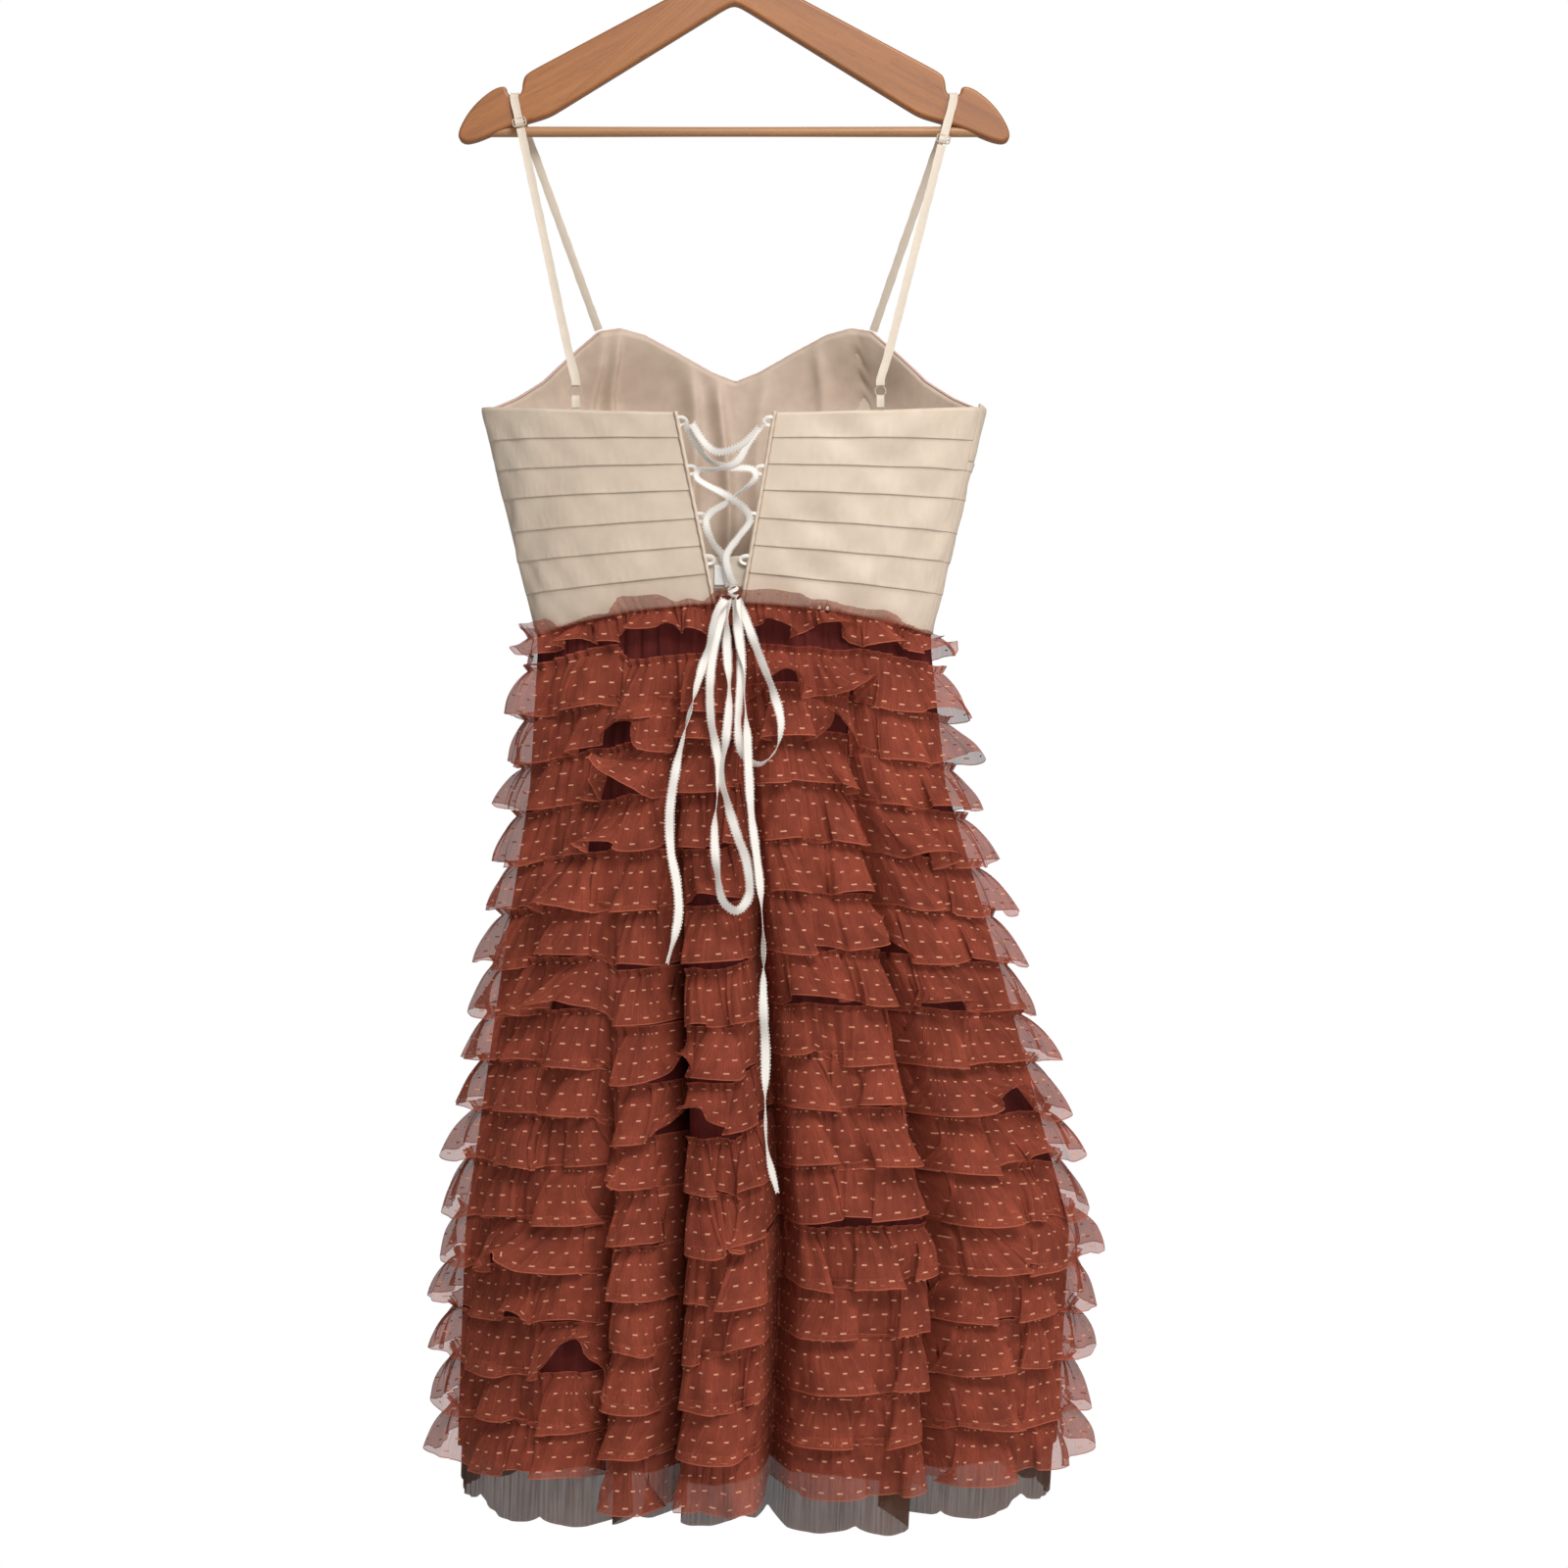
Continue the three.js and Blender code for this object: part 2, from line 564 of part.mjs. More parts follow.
// The straps: one run from the cup over the hanger to the slider, and one from there to the ring
const outwards = new THREE.Vector3(0, -1, 0);
for (const { side, sign, frontX, ringX, sliderZ } of SHOULDERS) {
  const across = new THREE.Vector3(1, 0, 0);
  const away = HANGER_THICK / 2 + STRAP.clear;
  const over = NOTCH.floor + STRAP.clear;
  const x = sign * NOTCH.x;
  const frontTurn = 180 - sign * THREE.MathUtils.radToDeg(Math.asin(frontX / BODICE[0].wide));
  const sewnFront = bodicePoint(frontTurn, neckline(frontTurn), -SATIN / 2).add(new THREE.Vector3(0, 0, 2));
  const ringTurn = sign * THREE.MathUtils.radToDeg(Math.asin(ringX / BODICE[1].wide));
  const ringAt = bodicePoint(ringTurn, backTop(ringTurn), -SATIN / 2).setZ(RING.z);
  const ringEnd = ringAt.clone().setZ(RING.z + RING.radius + RING.wire + SEAM);
  const atNotch = new THREE.Vector3(x, -away, over - 5);
  const onBack = (z) => atNotch.clone().lerp(ringEnd, (atNotch.z - z) / (atNotch.z - ringEnd.z));
  const frontRun = [
    sewnFront,
    sewnFront.clone().lerp(new THREE.Vector3(x, away, over - 5), 0.5),
    new THREE.Vector3(x, away, over - 5),
    new THREE.Vector3(x, away, over - 1.6),
    new THREE.Vector3(x, away - 0.7, over - 0.5),
    new THREE.Vector3(x, away - 2.2, over),
    new THREE.Vector3(x, 2.2 - away, over),
    new THREE.Vector3(x, 0.7 - away, over - 0.5),
    new THREE.Vector3(x, -away, over - 1.6),
    atNotch,
    onBack(sliderZ + SEAM / 2),
  ];
  add("strap_front_" + side, band(frontRun, STRAP.wide, STRAP.thick, across), satin);
  const backRun = [onBack(sliderZ - SEAM / 2), onBack((sliderZ + ringEnd.z) / 2), ringEnd];
  add("strap_back_" + side, band(backRun, STRAP.wide, STRAP.thick, across), satin);

  const ring = new THREE.TorusGeometry(RING.radius, RING.wire, 6, 12);
  ring.rotateX(Math.PI / 2);
  add("ring_" + side, ring.clone().translate(ringAt.x, ringAt.y, ringAt.z), fitting);
  const tabTop = ringAt.clone().setZ(RING.z - RING.radius - RING.wire - SEAM);
  const tabFoot = ringAt.clone().setZ(backTop(ringTurn) + 1.4 * SEAM);
  add("ring_tab_" + side, band([tabTop, tabFoot], STRAP.wide, STRAP.thick, across), satin);

  const frame = new THREE.Shape();
  const [w, h] = [SLIDER.wide / 2, SLIDER.tall / 2];
  frame.moveTo(-w, -h).lineTo(w, -h).lineTo(w, h).lineTo(-w, h).closePath();
  for (const lift of [-1, 1]) {
    const hole = new THREE.Path();
    const [near, far] = [(lift * SLIDER.bar) / 2, lift * (h - SLIDER.bar)];
    hole.moveTo(SLIDER.bar - w, near).lineTo(w - SLIDER.bar, near).lineTo(w - SLIDER.bar, far);
    hole.lineTo(SLIDER.bar - w, far).closePath();
    frame.holes.push(hole);
  }
  const slider = new THREE.ExtrudeGeometry(frame, { depth: SLIDER.thick, bevelEnabled: false });
  slider.translate(0, 0, -SLIDER.thick / 2);
  const up = atNotch.clone().sub(ringEnd).normalize();
  const out = outwards.clone().addScaledVector(up, -outwards.dot(up)).normalize();
  const right = new THREE.Vector3().crossVectors(up, out);
  slider.applyMatrix4(new THREE.Matrix4().makeBasis(right, up, out));
  const seat = onBack(sliderZ).addScaledVector(out, (STRAP.thick + SLIDER.thick) / 2 + SEAM);
  add("slider_" + side, slider.translate(seat.x, seat.y, seat.z), fitting);
}

// The hanger: two arms cut from one board, bored for the crossbar and the hook
function alongX(radius, length, x, z) {
  return new THREE.CylinderGeometry(radius, radius, length, 12).rotateZ(Math.PI / 2).translate(x, 0, z);
}

function hangerArms() {
  const right = HALF_OUTLINE.map(({ x, z }) => new THREE.Vector2(x, z));
  const left = HALF_OUTLINE.slice(1, -1).reverse().map(({ x, z }) => new THREE.Vector2(-x, z));
  const board = new THREE.ExtrudeGeometry(new THREE.Shape([...right, ...left]), {
    depth: HANGER_THICK,
    bevelEnabled: false,
  });
  board.translate(0, 0, -HANGER_THICK / 2).rotateX(Math.PI / 2);
  const bore = alongX(CROSSBAR.radius + CROSSBAR.bored, 2 * (CROSSBAR.half + CROSSBAR.bored), 0, CROSSBAR.z);
  const drop = HALF_OUTLINE[0].z - HOOK.seated + HOOK.bored;
  const socket = new THREE.CylinderGeometry(HOOK.wire + HOOK.bored, HOOK.wire + HOOK.bored, drop * 2, 12);
  socket.rotateX(Math.PI / 2).translate(0, 0, HALF_OUTLINE[0].z);
  return geometryOf(solidOf(board).subtract(solidOf(bore)).subtract(solidOf(socket)));
}

function hookWire() {
  const radius = HOOK.inside + HOOK.wire;
  const points = [];
  for (let turn = HOOK.tip; turn >= HOOK.foot; turn -= 17.5) {
    points.push(new THREE.Vector3(radius * cosine(turn), 0, radius * sine(turn) - HOOK.inside));
  }
  points.push(new THREE.Vector3(9, 0, -46), new THREE.Vector3(2, 0, -56), new THREE.Vector3(0, 0, -66));
  points.push(new THREE.Vector3(0, 0, -80), new THREE.Vector3(0, 0, HOOK.seated));
  const circle = Array.from({ length: 8 }, (_, i) => {
    return new THREE.Vector2(HOOK.wire * cosine(i * 45), HOOK.wire * sine(i * 45));
  });
  const extrudePath = new THREE.CatmullRomCurve3(points, false, "centripetal");
  return new THREE.ExtrudeGeometry(new THREE.Shape(circle), { steps: 28, extrudePath, bevelEnabled: false });
}

add("hanger_arms", hangerArms(), wood);
add("hanger_crossbar", alongX(CROSSBAR.radius, 2 * CROSSBAR.half, 0, CROSSBAR.z), wood);
add("hanger_hook", hookWire(), steel);

export default dress;
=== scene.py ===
# A corset dress on a wooden hanger, seen from its laced back.
# Sizes are in millimetres until a mesh is made; the meshes are in metres, in the CAD model's frame.
import math

import bmesh
import bpy
import numpy as np
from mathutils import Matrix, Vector


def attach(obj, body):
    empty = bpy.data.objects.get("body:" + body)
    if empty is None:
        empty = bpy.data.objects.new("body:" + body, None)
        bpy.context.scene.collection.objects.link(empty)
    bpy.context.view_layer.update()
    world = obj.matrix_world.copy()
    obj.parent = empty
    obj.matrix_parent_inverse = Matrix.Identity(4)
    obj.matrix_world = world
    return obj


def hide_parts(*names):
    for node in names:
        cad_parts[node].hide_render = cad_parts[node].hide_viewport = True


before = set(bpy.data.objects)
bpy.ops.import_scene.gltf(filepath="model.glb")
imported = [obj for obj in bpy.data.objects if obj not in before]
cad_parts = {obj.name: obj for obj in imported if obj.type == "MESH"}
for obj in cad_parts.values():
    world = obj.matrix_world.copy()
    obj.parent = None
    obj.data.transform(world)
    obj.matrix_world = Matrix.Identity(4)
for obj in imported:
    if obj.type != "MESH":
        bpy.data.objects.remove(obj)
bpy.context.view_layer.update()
scene = bpy.context.scene

# The camera, the light and the floor.
# The photograph looks straight at the laced back from about two metres, level with the upper skirt,
# and cuts off the hanger's hook. The light is a big soft window, high up on the camera's side.
camera = bpy.data.objects.new("camera", bpy.data.cameras.new("camera"))
scene.collection.objects.link(camera)
camera.location = (0.040, -2.0, -0.737)
camera.rotation_euler = (math.radians(90), 0, 0)
camera.data.lens = 57.25
camera.data.sensor_width = 36
camera.data.clip_end = 50
scene.camera = camera

scene.view_settings.view_transform = "Standard"
scene.view_settings.look = "None"
scene.cycles.transparent_max_bounces = 28

world = bpy.data.worlds.new("studio")
scene.world = world
world.use_nodes = True
sky = world.node_tree
sky.nodes.clear()
sky_out = sky.nodes.new("ShaderNodeOutputWorld")
sky_mix = sky.nodes.new("ShaderNodeMixShader")
sky_path = sky.nodes.new("ShaderNodeLightPath")
sky_light = sky.nodes.new("ShaderNodeBackground")
sky_light.inputs["Color"].default_value = (1.0, 0.985, 0.965, 1)
sky_light.inputs["Strength"].default_value = 0.26
sky_seen = sky.nodes.new("ShaderNodeBackground")
sky_seen.inputs["Color"].default_value = (1, 1, 1, 1)
sky.links.new(sky_path.outputs["Is Camera Ray"], sky_mix.inputs["Fac"])
sky.links.new(sky_light.outputs[0], sky_mix.inputs[1])
sky.links.new(sky_seen.outputs[0], sky_mix.inputs[2])
sky.links.new(sky_mix.outputs[0], sky_out.inputs["Surface"])


def soft_box(name, place, aim, size, watts, colour):
    lamp = bpy.data.lights.new(name, "AREA")
    lamp.shape = "RECTANGLE"
    lamp.size, lamp.size_y = size
    lamp.energy = watts
    lamp.color = colour
    stand = bpy.data.objects.new(name, lamp)
    stand.location = place
    stand.rotation_euler = (Vector(aim) - Vector(place)).to_track_quat("-Z", "Y").to_euler()
    scene.collection.objects.link(stand)


soft_box("window", (0.7, -2.1, 1.3), (0, 0, -0.75), (1.3, 1.1), 65, (1, 0.985, 0.96))
soft_box("fill", (2.1, -1.7, -0.2), (0, 0, -0.9), (1.4, 1.6), 16, (1, 0.97, 0.94))
soft_box("behind", (0.4, 2.4, 0.6), (0, 0, -0.8), (1.6, 1.2), 16, (1, 1, 1))


def mesh_piece(name, points, faces, uvs=None, smooth=True):
    """A mesh from points in millimetres. uvs has one pair of metres for each corner of each face."""
    mesh = bpy.data.meshes.new(name)
    mesh.from_pydata(np.asarray(points, float).reshape(-1, 3) * 0.001, [], faces)
    if uvs is not None:
        mesh.uv_layers.new(name="cut").data.foreach_set("uv", np.asarray(uvs, np.float32).ravel())
    mesh.update()
    if smooth:
        mesh.shade_smooth()
    piece = bpy.data.objects.new(name, mesh)
    scene.collection.objects.link(piece)
    return piece


def grid_squares(rows, columns, ring):
    """The corners of the squares of a grid, by row and column; a ring's last column meets its first."""
    across = columns if ring else columns - 1
    row, column = np.meshgrid(np.arange(rows - 1), np.arange(across), indexing="ij")
    row, column = row.ravel(), column.ravel()
    return np.stack([row, row + 1, row + 1, row], 1), np.stack([column, column, column + 1, column + 1], 1)


def cloth_piece(name, points, uv, ring=False):
    """One layer of cloth through a grid of points; uv is the place of each point on the flat cloth."""
    rows, columns = points.shape[:2]
    row, column = grid_squares(rows, columns, ring)
    faces = row * columns + column % columns
    return mesh_piece(name, points, faces.tolist(), uv[row, column])


floor_points = [(-1600, -1700, -1750), (1600, -1700, -1750), (1600, 1100, -1750), (-1600, 1100, -1750)]
floor = mesh_piece("floor", floor_points, [(0, 1, 2, 3)], smooth=False)
floor_finish = bpy.data.materials.new("pale floor")
floor_finish.use_nodes = True
floor_shader = floor_finish.node_tree.nodes["Principled BSDF"]
floor_shader.inputs["Base Color"].default_value = (0.86, 0.85, 0.84, 1)
floor_shader.inputs["Roughness"].default_value = 0.9
floor.data.materials.append(floor_finish)


# The ribbons that hang from the bow.
# They are ivory satin ribbon, 5.6 mm wide with picot loops woven along both edges. They are the loose
# part of the corset lacing: two free ends and two bow loops, tied at the foot of the laced opening.
def add_node(tree, kind, inputs=(), out=0, **settings):
    """One output of a new node. Its inputs are values or the sockets that are linked to them."""
    made = tree.nodes.new(kind)
    for key, value in settings.items():
        setattr(made, key, value)
    for socket, value in dict(inputs).items():
        if isinstance(value, bpy.types.NodeSocket):
            tree.links.new(value, made.inputs[socket])
        else:
            made.inputs[socket].default_value = value
    return made.outputs[out]


class Maker:
    """A material under construction: its nodes and links, under short names."""

    def __init__(self, name):
        self.material = bpy.data.materials.new(name)
        self.material.use_nodes = True
        self.tree = self.material.node_tree
        self.shader = self.tree.nodes["Principled BSDF"]
        self.uv = add_node(self.tree, "ShaderNodeUVMap", uv_map="cut")

    def feed(self, **inputs):
        """Values or sockets for the shader's own sockets."""
        for key, value in inputs.items():
            socket = self.shader.inputs[key.replace("_", " ")]
            if isinstance(value, bpy.types.NodeSocket):
                self.tree.links.new(value, socket)
            else:
                socket.default_value = value

    def sums(self, operation, *values):
        return add_node(self.tree, "ShaderNodeMath", enumerate(values), operation=operation)

    def swing(self, value, by, middle):
        """The middle, plus this much of how far the value is from a half."""
        return self.sums("MULTIPLY_ADD", self.sums("SUBTRACT", value, 0.5), by, middle)

    def mix(self, share, first, second):
        first, second = ((*colour, 1) if isinstance(colour, tuple) else colour for colour in (first, second))
        return add_node(self.tree, "ShaderNodeMix", {0: share, 6: first, 7: second}, 2, data_type="RGBA")

    def noise(self, scale, detail, stretch=None, distortion=0):
        """Noise on the flat cloth, drawn out along it where a stretch is given."""
        place = self.uv
        if stretch:
            place = add_node(self.tree, "ShaderNodeMapping", {"Vector": place, "Scale": (*stretch, 1)})
        given = {"Vector": place, "Scale": scale, "Detail": detail, "Distortion": distortion}
        return add_node(self.tree, "ShaderNodeTexNoise", given, "Fac")

    def weave(self, threads, unevenness):
        """The height and the shade of a plain weave on the flat cloth."""
        given = {"Vector": self.uv, "Threads": threads, "Unevenness": unevenness}
        shade = add_node(self.tree, "ShaderNodeGroup", given, "Shade", node_tree=weave)
        return shade.node.outputs["Height"], shade

    def bump(self, height, distance, strength=1.0):
        given = {"Distance": distance, "Strength": strength, "Height": height}
        self.feed(Normal=add_node(self.tree, "ShaderNodeBump", given))


# A plain weave: threads both ways on the flat cloth, a little uneven
weave = bpy.data.node_groups.new("plain weave", "ShaderNodeTree")
for socket, value in {"Vector": None, "Threads": 1200.0, "Unevenness": 0.3}.items():
    kind = "NodeSocketFloat" if value else "NodeSocketVector"
    made = weave.interface.new_socket(socket, in_out="INPUT", socket_type=kind)
    if value:
        made.default_value = value
for socket in ("Height", "Shade"):
    weave.interface.new_socket(socket, in_out="OUTPUT", socket_type="NodeSocketFloat")
given = weave.nodes.new("NodeGroupInput").outputs
threads = [
    add_node(
        weave, "ShaderNodeTexWave",
        {"Vector": given["Vector"], "Scale": given["Threads"], "Distortion": 0.4},
        "Fac", bands_direction=axis,
    ) for axis in ("X", "Y")
]
slub = add_node(weave, "ShaderNodeTexNoise", {"Vector": given["Vector"], "Scale": 90, "Detail": 3}, "Fac")
centred = add_node(weave, "ShaderNodeMath", {0: slub, 1: 0.5}, operation="SUBTRACT")
uneven = add_node(weave, "ShaderNodeMath", {0: centred, 1: given["Unevenness"]}, operation="MULTIPLY")
weave_out = weave.nodes.new("NodeGroupOutput").inputs
crossings = add_node(weave, "ShaderNodeMath", enumerate(threads), operation="MULTIPLY")
weave.links.new(crossings, weave_out["Height"])
weave.links.new(add_node(weave, "ShaderNodeMath", {0: uneven, 1: 0.5}, operation="ADD"), weave_out["Shade"])

ribbon_maker = Maker("ivory ribbon")
ribbon_height, ribbon_shade = ribbon_maker.weave(900, 0.5)
ribbon_colour = ribbon_maker.mix(ribbon_shade, (0.90, 0.84, 0.77), (1.0, 0.98, 0.95))
ribbon_maker.feed(Base_Color=ribbon_colour, Roughness=0.55, Sheen_Weight=0.25, Sheen_Roughness=0.4)
ribbon_maker.bump(ribbon_height, 0.00012, 0.6)

RIBBON_LAY_Z = (-1090, -894, -737, -684, -632, -603, -590)
RIBBON_LAY_Y = (150, 123, 95, 84, 66, 53, 44)
RIBBON_ROUTES = {
    "ribbon_end_left": [
        (-6.4, -593, 4.7), (-12.6, -604, 4.7), (-18, -630, 4.4), (-26, -657, 4.4), (-35, -693, 4.4),
        (-43, -728, 3), (-47, -759, 2), (-46, -788, 1), (-41, -814, 1), (-40, -838, 1), (-48, -872, 1),
    ],
    "bow_loop_long": [
        (-3.5, -593, 0), (-8, -606, 0), (-14, -630, 0), (-17, -657, 0), (-16, -688, 0), (-10, -722, 0),
        (-11, -745, 0), (-13, -775, 0), (-11, -802, 0), (-6, -826, 0.6), (4, -833, 1.2), (13, -823, 1.8),
        (12, -798, 2.2), (4, -775, 2.2), (-3, -752, 2.2), (-8, -730, 2.2), (-5, -707, 2.2), (-2, -670, 2.2),
        (-4, -635, 2.2), (-4.5, -608, 2.2), (-3.2, -593, 2.2),
    ],
    "bow_loop_short": [
        (3, -593, 0), (9, -606, 0), (20, -635, 0), (32, -667, 0), (37.7, -691, 0), (33, -712, 0),
        (21, -722, 0.8), (9, -715, 1.6), (4.8, -694, 2.2), (6, -668, 2.2), (7, -640, 2.2), (4, -610, 2.2),
        (3, -593, 2.2),
    ],
    "ribbon_end_right": [
        (1.2, -593, 4.4), (3, -608, 4.4), (6, -632, 4.4), (9, -663, 4.4), (11.5, -694, 4.4), (13, -727, 4.4),
        (15, -759, 4.4), (19, -790, 4.4), (22, -816, 4.4), (24.5, -861, 3), (24.5, -905, 2), (26, -934, 1),
        (26, -979, 1), (27.5, -1010, 1), (35, -1041, 1),
    ],
}


def smooth_route(points, spacing):
    """Points along a smooth curve through these, in millimetres, about this far apart."""
    points = np.asarray(points, float)
    knots = np.concatenate([[0], np.cumsum(np.sqrt(np.linalg.norm(np.diff(points, axis=0), axis=1)))])
    slopes = np.gradient(points, knots, axis=0)
    fine = np.linspace(0, knots[-1], 60 * len(points))
    i = np.clip(np.searchsorted(knots, fine, side="right") - 1, 0, len(points) - 2)
    step = (knots[i + 1] - knots[i])[:, None]
    t = ((fine - knots[i]) / step[:, 0])[:, None]
    curve = (
        (2 * t**3 - 3 * t**2 + 1) * points[i]
        + (t**3 - 2 * t**2 + t) * step * slopes[i]
        + (3 * t**2 - 2 * t**3) * points[i + 1]
        + (t**3 - t**2) * step * slopes[i + 1]
    )
    along = np.concatenate([[0], np.cumsum(np.linalg.norm(np.diff(curve, axis=0), axis=1))])
    even = np.linspace(0, along[-1], max(3, int(along[-1] / spacing)) + 1)
    return np.stack([np.interp(even, along, curve[:, k]) for k in range(3)], 1), even


RIBBON_WIDTH, RIBBON_THICK = 5.6, 0.4


def unit(ways):
    """These directions, each brought to a length of one."""
    return ways / np.linalg.norm(ways, axis=1)[:, None]


def add_caps(faces, uvs, rows, corners, first_order):
    """The two ends of a bar of this many rows, added to its faces."""
    for end, order in ((0, first_order), ((rows - 1) * corners, -first_order)):
        faces.append([end + k for k in range(corners)][::order])
        uvs.extend([[0.0, 0.0]] * corners)


def join_on(piece, node=None):
    """The piece rides on the one body, and stands for this solid of the CAD model."""
    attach(piece, "root")
    if node:
        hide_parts(node)


def band_piece(name, line, even, side, face, width, thick, finish, cup=0.25):
    """A flat band along a line, with its sides and its face given at each point."""
    profile = [(-0.5, -0.5, 0), (-0.17, -0.5, cup), (0.17, -0.5, cup), (0.5, -0.5, 0)]
    profile += [(0.5, 0.5, 0), (0.17, 0.5, cup), (-0.17, 0.5, cup), (-0.5, 0.5, 0)]
    points = [line + side * (u * width) + face * (v * thick + crown * 0.6) for u, v, crown in profile]
    points = np.stack(points, 1)
    count, corners = points.shape[:2]
    row, column = (np.roll(cells[:, ::-1], 1, 1) for cells in grid_squares(count, corners, True))
    faces = (row * corners + column % corners).tolist()
    over = np.array([0, 1, 2, 3, 3, 2, 1, 0, 0]) / 3 * width * 0.001
    uvs = np.stack([over[column], even[row] * 0.001], -1).reshape(-1, 2).tolist()
    add_caps(faces, uvs, count, corners, -1)
    piece = mesh_piece(name, points, faces, uvs)
    piece.data.set_sharp_from_angle(angle=math.radians(50))
    piece.data.materials.append(finish.material)
    return piece


def ribbon_piece(name, route, across=(0, -1, 0), width=RIBBON_WIDTH, twisting=1.0, turned_by=0.0):
    """A ribbon along a route, its face turned to the back and twisted a little here and there."""
    line, even = smooth_route(route, 1.9)
    along = unit(np.gradient(line, even, axis=0))
    face = np.asarray(across(line) if callable(across) else np.broadcast_to(across, line.shape), float)
    face = unit(face - np.sum(along * face, 1)[:, None] * along)
    turned = 0.75 * np.sin(even / 29 + len(name)) + 0.75 * np.sin(even / 17.3 + len(name) * 2) ** 3
    twist = twisting * turned + turned_by * np.minimum(1, even / 90)
    side = np.cross(along, face)
    side = side * np.cos(twist)[:, None] + face * np.sin(twist)[:, None]
    face = np.cross(side, along)
    piece = band_piece(name, line, even, side, face, width, RIBBON_THICK, ribbon_maker)
    return piece, line, even, side, face


# Small loops of thread along a line: the woven picots of the ribbon, and the stitches elsewhere
loop_tree = bpy.data.node_groups.new("thread loops along a line", "GeometryNodeTree")
loop_tree.interface.new_socket("Geometry", in_out="INPUT", socket_type="NodeSocketGeometry")
loop_sockets = {}
for label, kind in (
    ("Step", "NodeSocketFloat"), ("Length", "NodeSocketFloat"), ("Rise", "NodeSocketFloat"),
    ("Thread", "NodeSocketFloat"), ("Unevenness", "NodeSocketFloat"), ("Seed", "NodeSocketInt"),
    ("Material", "NodeSocketMaterial"),
):
    loop_sockets[label] = loop_tree.interface.new_socket(label, in_out="INPUT", socket_type=kind).identifier
loop_tree.interface.new_socket("Geometry", in_out="OUTPUT", socket_type="NodeSocketGeometry")
given = loop_tree.nodes.new("NodeGroupInput").outputs
line_curve = add_node(loop_tree, "GeometryNodeMeshToCurve", {"Mesh": given["Geometry"]})
even_curve = add_node(
    loop_tree, "GeometryNodeResampleCurve", {"Curve": line_curve, "Length": given["Step"]}, mode="LENGTH"
)
ends = [add_node(loop_tree, "ShaderNodeMath", {0: given["Length"], 1: half}, operation="MULTIPLY")
        for half in (-0.5, 0.5)]
start_at, end_at = (add_node(loop_tree, "ShaderNodeCombineXYZ", {"X": end}) for end in ends)
middle_at = add_node(loop_tree, "ShaderNodeCombineXYZ", {"Z": given["Rise"]})
arc = add_node(
    loop_tree, "GeometryNodeCurveQuadraticBezier",
    {"Resolution": 6, "Start": start_at, "Middle": middle_at, "End": end_at},
)
round_thread = add_node(
    loop_tree, "GeometryNodeCurvePrimitiveCircle", {"Resolution": 4, "Radius": given["Thread"]}
)
loop_mesh = add_node(
    loop_tree, "GeometryNodeCurveToMesh", {"Curve": arc, "Profile Curve": round_thread, "Fill Caps": True}
)
tangent = add_node(loop_tree, "GeometryNodeInputTangent")
outward = add_node(
    loop_tree, "GeometryNodeInputNamedAttribute", {"Name": "outward"}, data_type="FLOAT_VECTOR"
)
turned_along = add_node(loop_tree, "FunctionNodeAlignRotationToVector", {"Vector": tangent}, axis="X")
turned_out = add_node(
    loop_tree, "FunctionNodeAlignRotationToVector", {"Rotation": turned_along, "Vector": outward},
    axis="Z", pivot_axis="X",
)
least = add_node(loop_tree, "ShaderNodeMath", {0: 1.0, 1: given["Unevenness"]}, operation="SUBTRACT")
size = add_node(
    loop_tree, "FunctionNodeRandomValue", {2: least, 3: 1.0, "Seed": given["Seed"]}, 1, data_type="FLOAT"
)
placed = add_node(
    loop_tree, "GeometryNodeInstanceOnPoints",
    {"Points": even_curve, "Instance": loop_mesh, "Rotation": turned_out, "Scale": size},
)
made_real = add_node(loop_tree, "GeometryNodeRealizeInstances", {"Geometry": placed})
dressed = add_node(
    loop_tree, "GeometryNodeSetMaterial", {"Geometry": made_real, "Material": given["Material"]}
)
loop_tree.links.new(dressed, loop_tree.nodes.new("NodeGroupOutput").inputs[0])


def thread_loops(name, lines, outwards, step, length, rise, thread, finish, seed):
    """Loops or stitches along these lines, in millimetres; each rises the way its line's outwards point."""
    points = np.concatenate(lines)
    edges, first = [], 0
    for line in lines:
        edges += [(first + k, first + k + 1) for k in range(len(line) - 1)]
        first += len(line)
    mesh = bpy.data.meshes.new(name + " line")
    mesh.from_pydata(points * 0.001, edges, [])
    ways = mesh.attributes.new("outward", "FLOAT_VECTOR", "POINT")
    ways.data.foreach_set("vector", np.concatenate(outwards).astype(np.float32).ravel())
    carrier = bpy.data.objects.new(name + " line", mesh)
    scene.collection.objects.link(carrier)
    loops = carrier.modifiers.new("thread loops", "NODES")
    loops.node_group = loop_tree
    for label, value in (
        ("Step", step * 0.001), ("Length", length * 0.001),
        ("Rise", rise * 0.001), ("Thread", thread * 0.001),
        ("Unevenness", 0.25), ("Seed", seed), ("Material", finish.material),
    ):
        loops[loop_sockets[label]] = value
    evaluated = carrier.evaluated_get(bpy.context.evaluated_depsgraph_get())
    made = bpy.data.meshes.new_from_object(evaluated)
    bpy.data.objects.remove(carrier)
    made.name = name
    made.shade_smooth()
    piece = bpy.data.objects.new(name, made)
    scene.collection.objects.link(piece)
    join_on(piece)
    return piece


PICOT_STEP, PICOT_LONG, PICOT_RISE, PICOT_THREAD = 2.5, 1.7, 2.8, 0.36


def add_picots(piece, line, side, width, seed):
    """The woven loops along both edges of a ribbon."""
    edges = [line + side * hand * width * 0.47 for hand in (-1, 1)]
    return thread_loops(
        piece.name + "_picots", edges, [-side, side], PICOT_STEP, PICOT_LONG, PICOT_RISE, PICOT_THREAD,
        ribbon_maker, seed,
    )


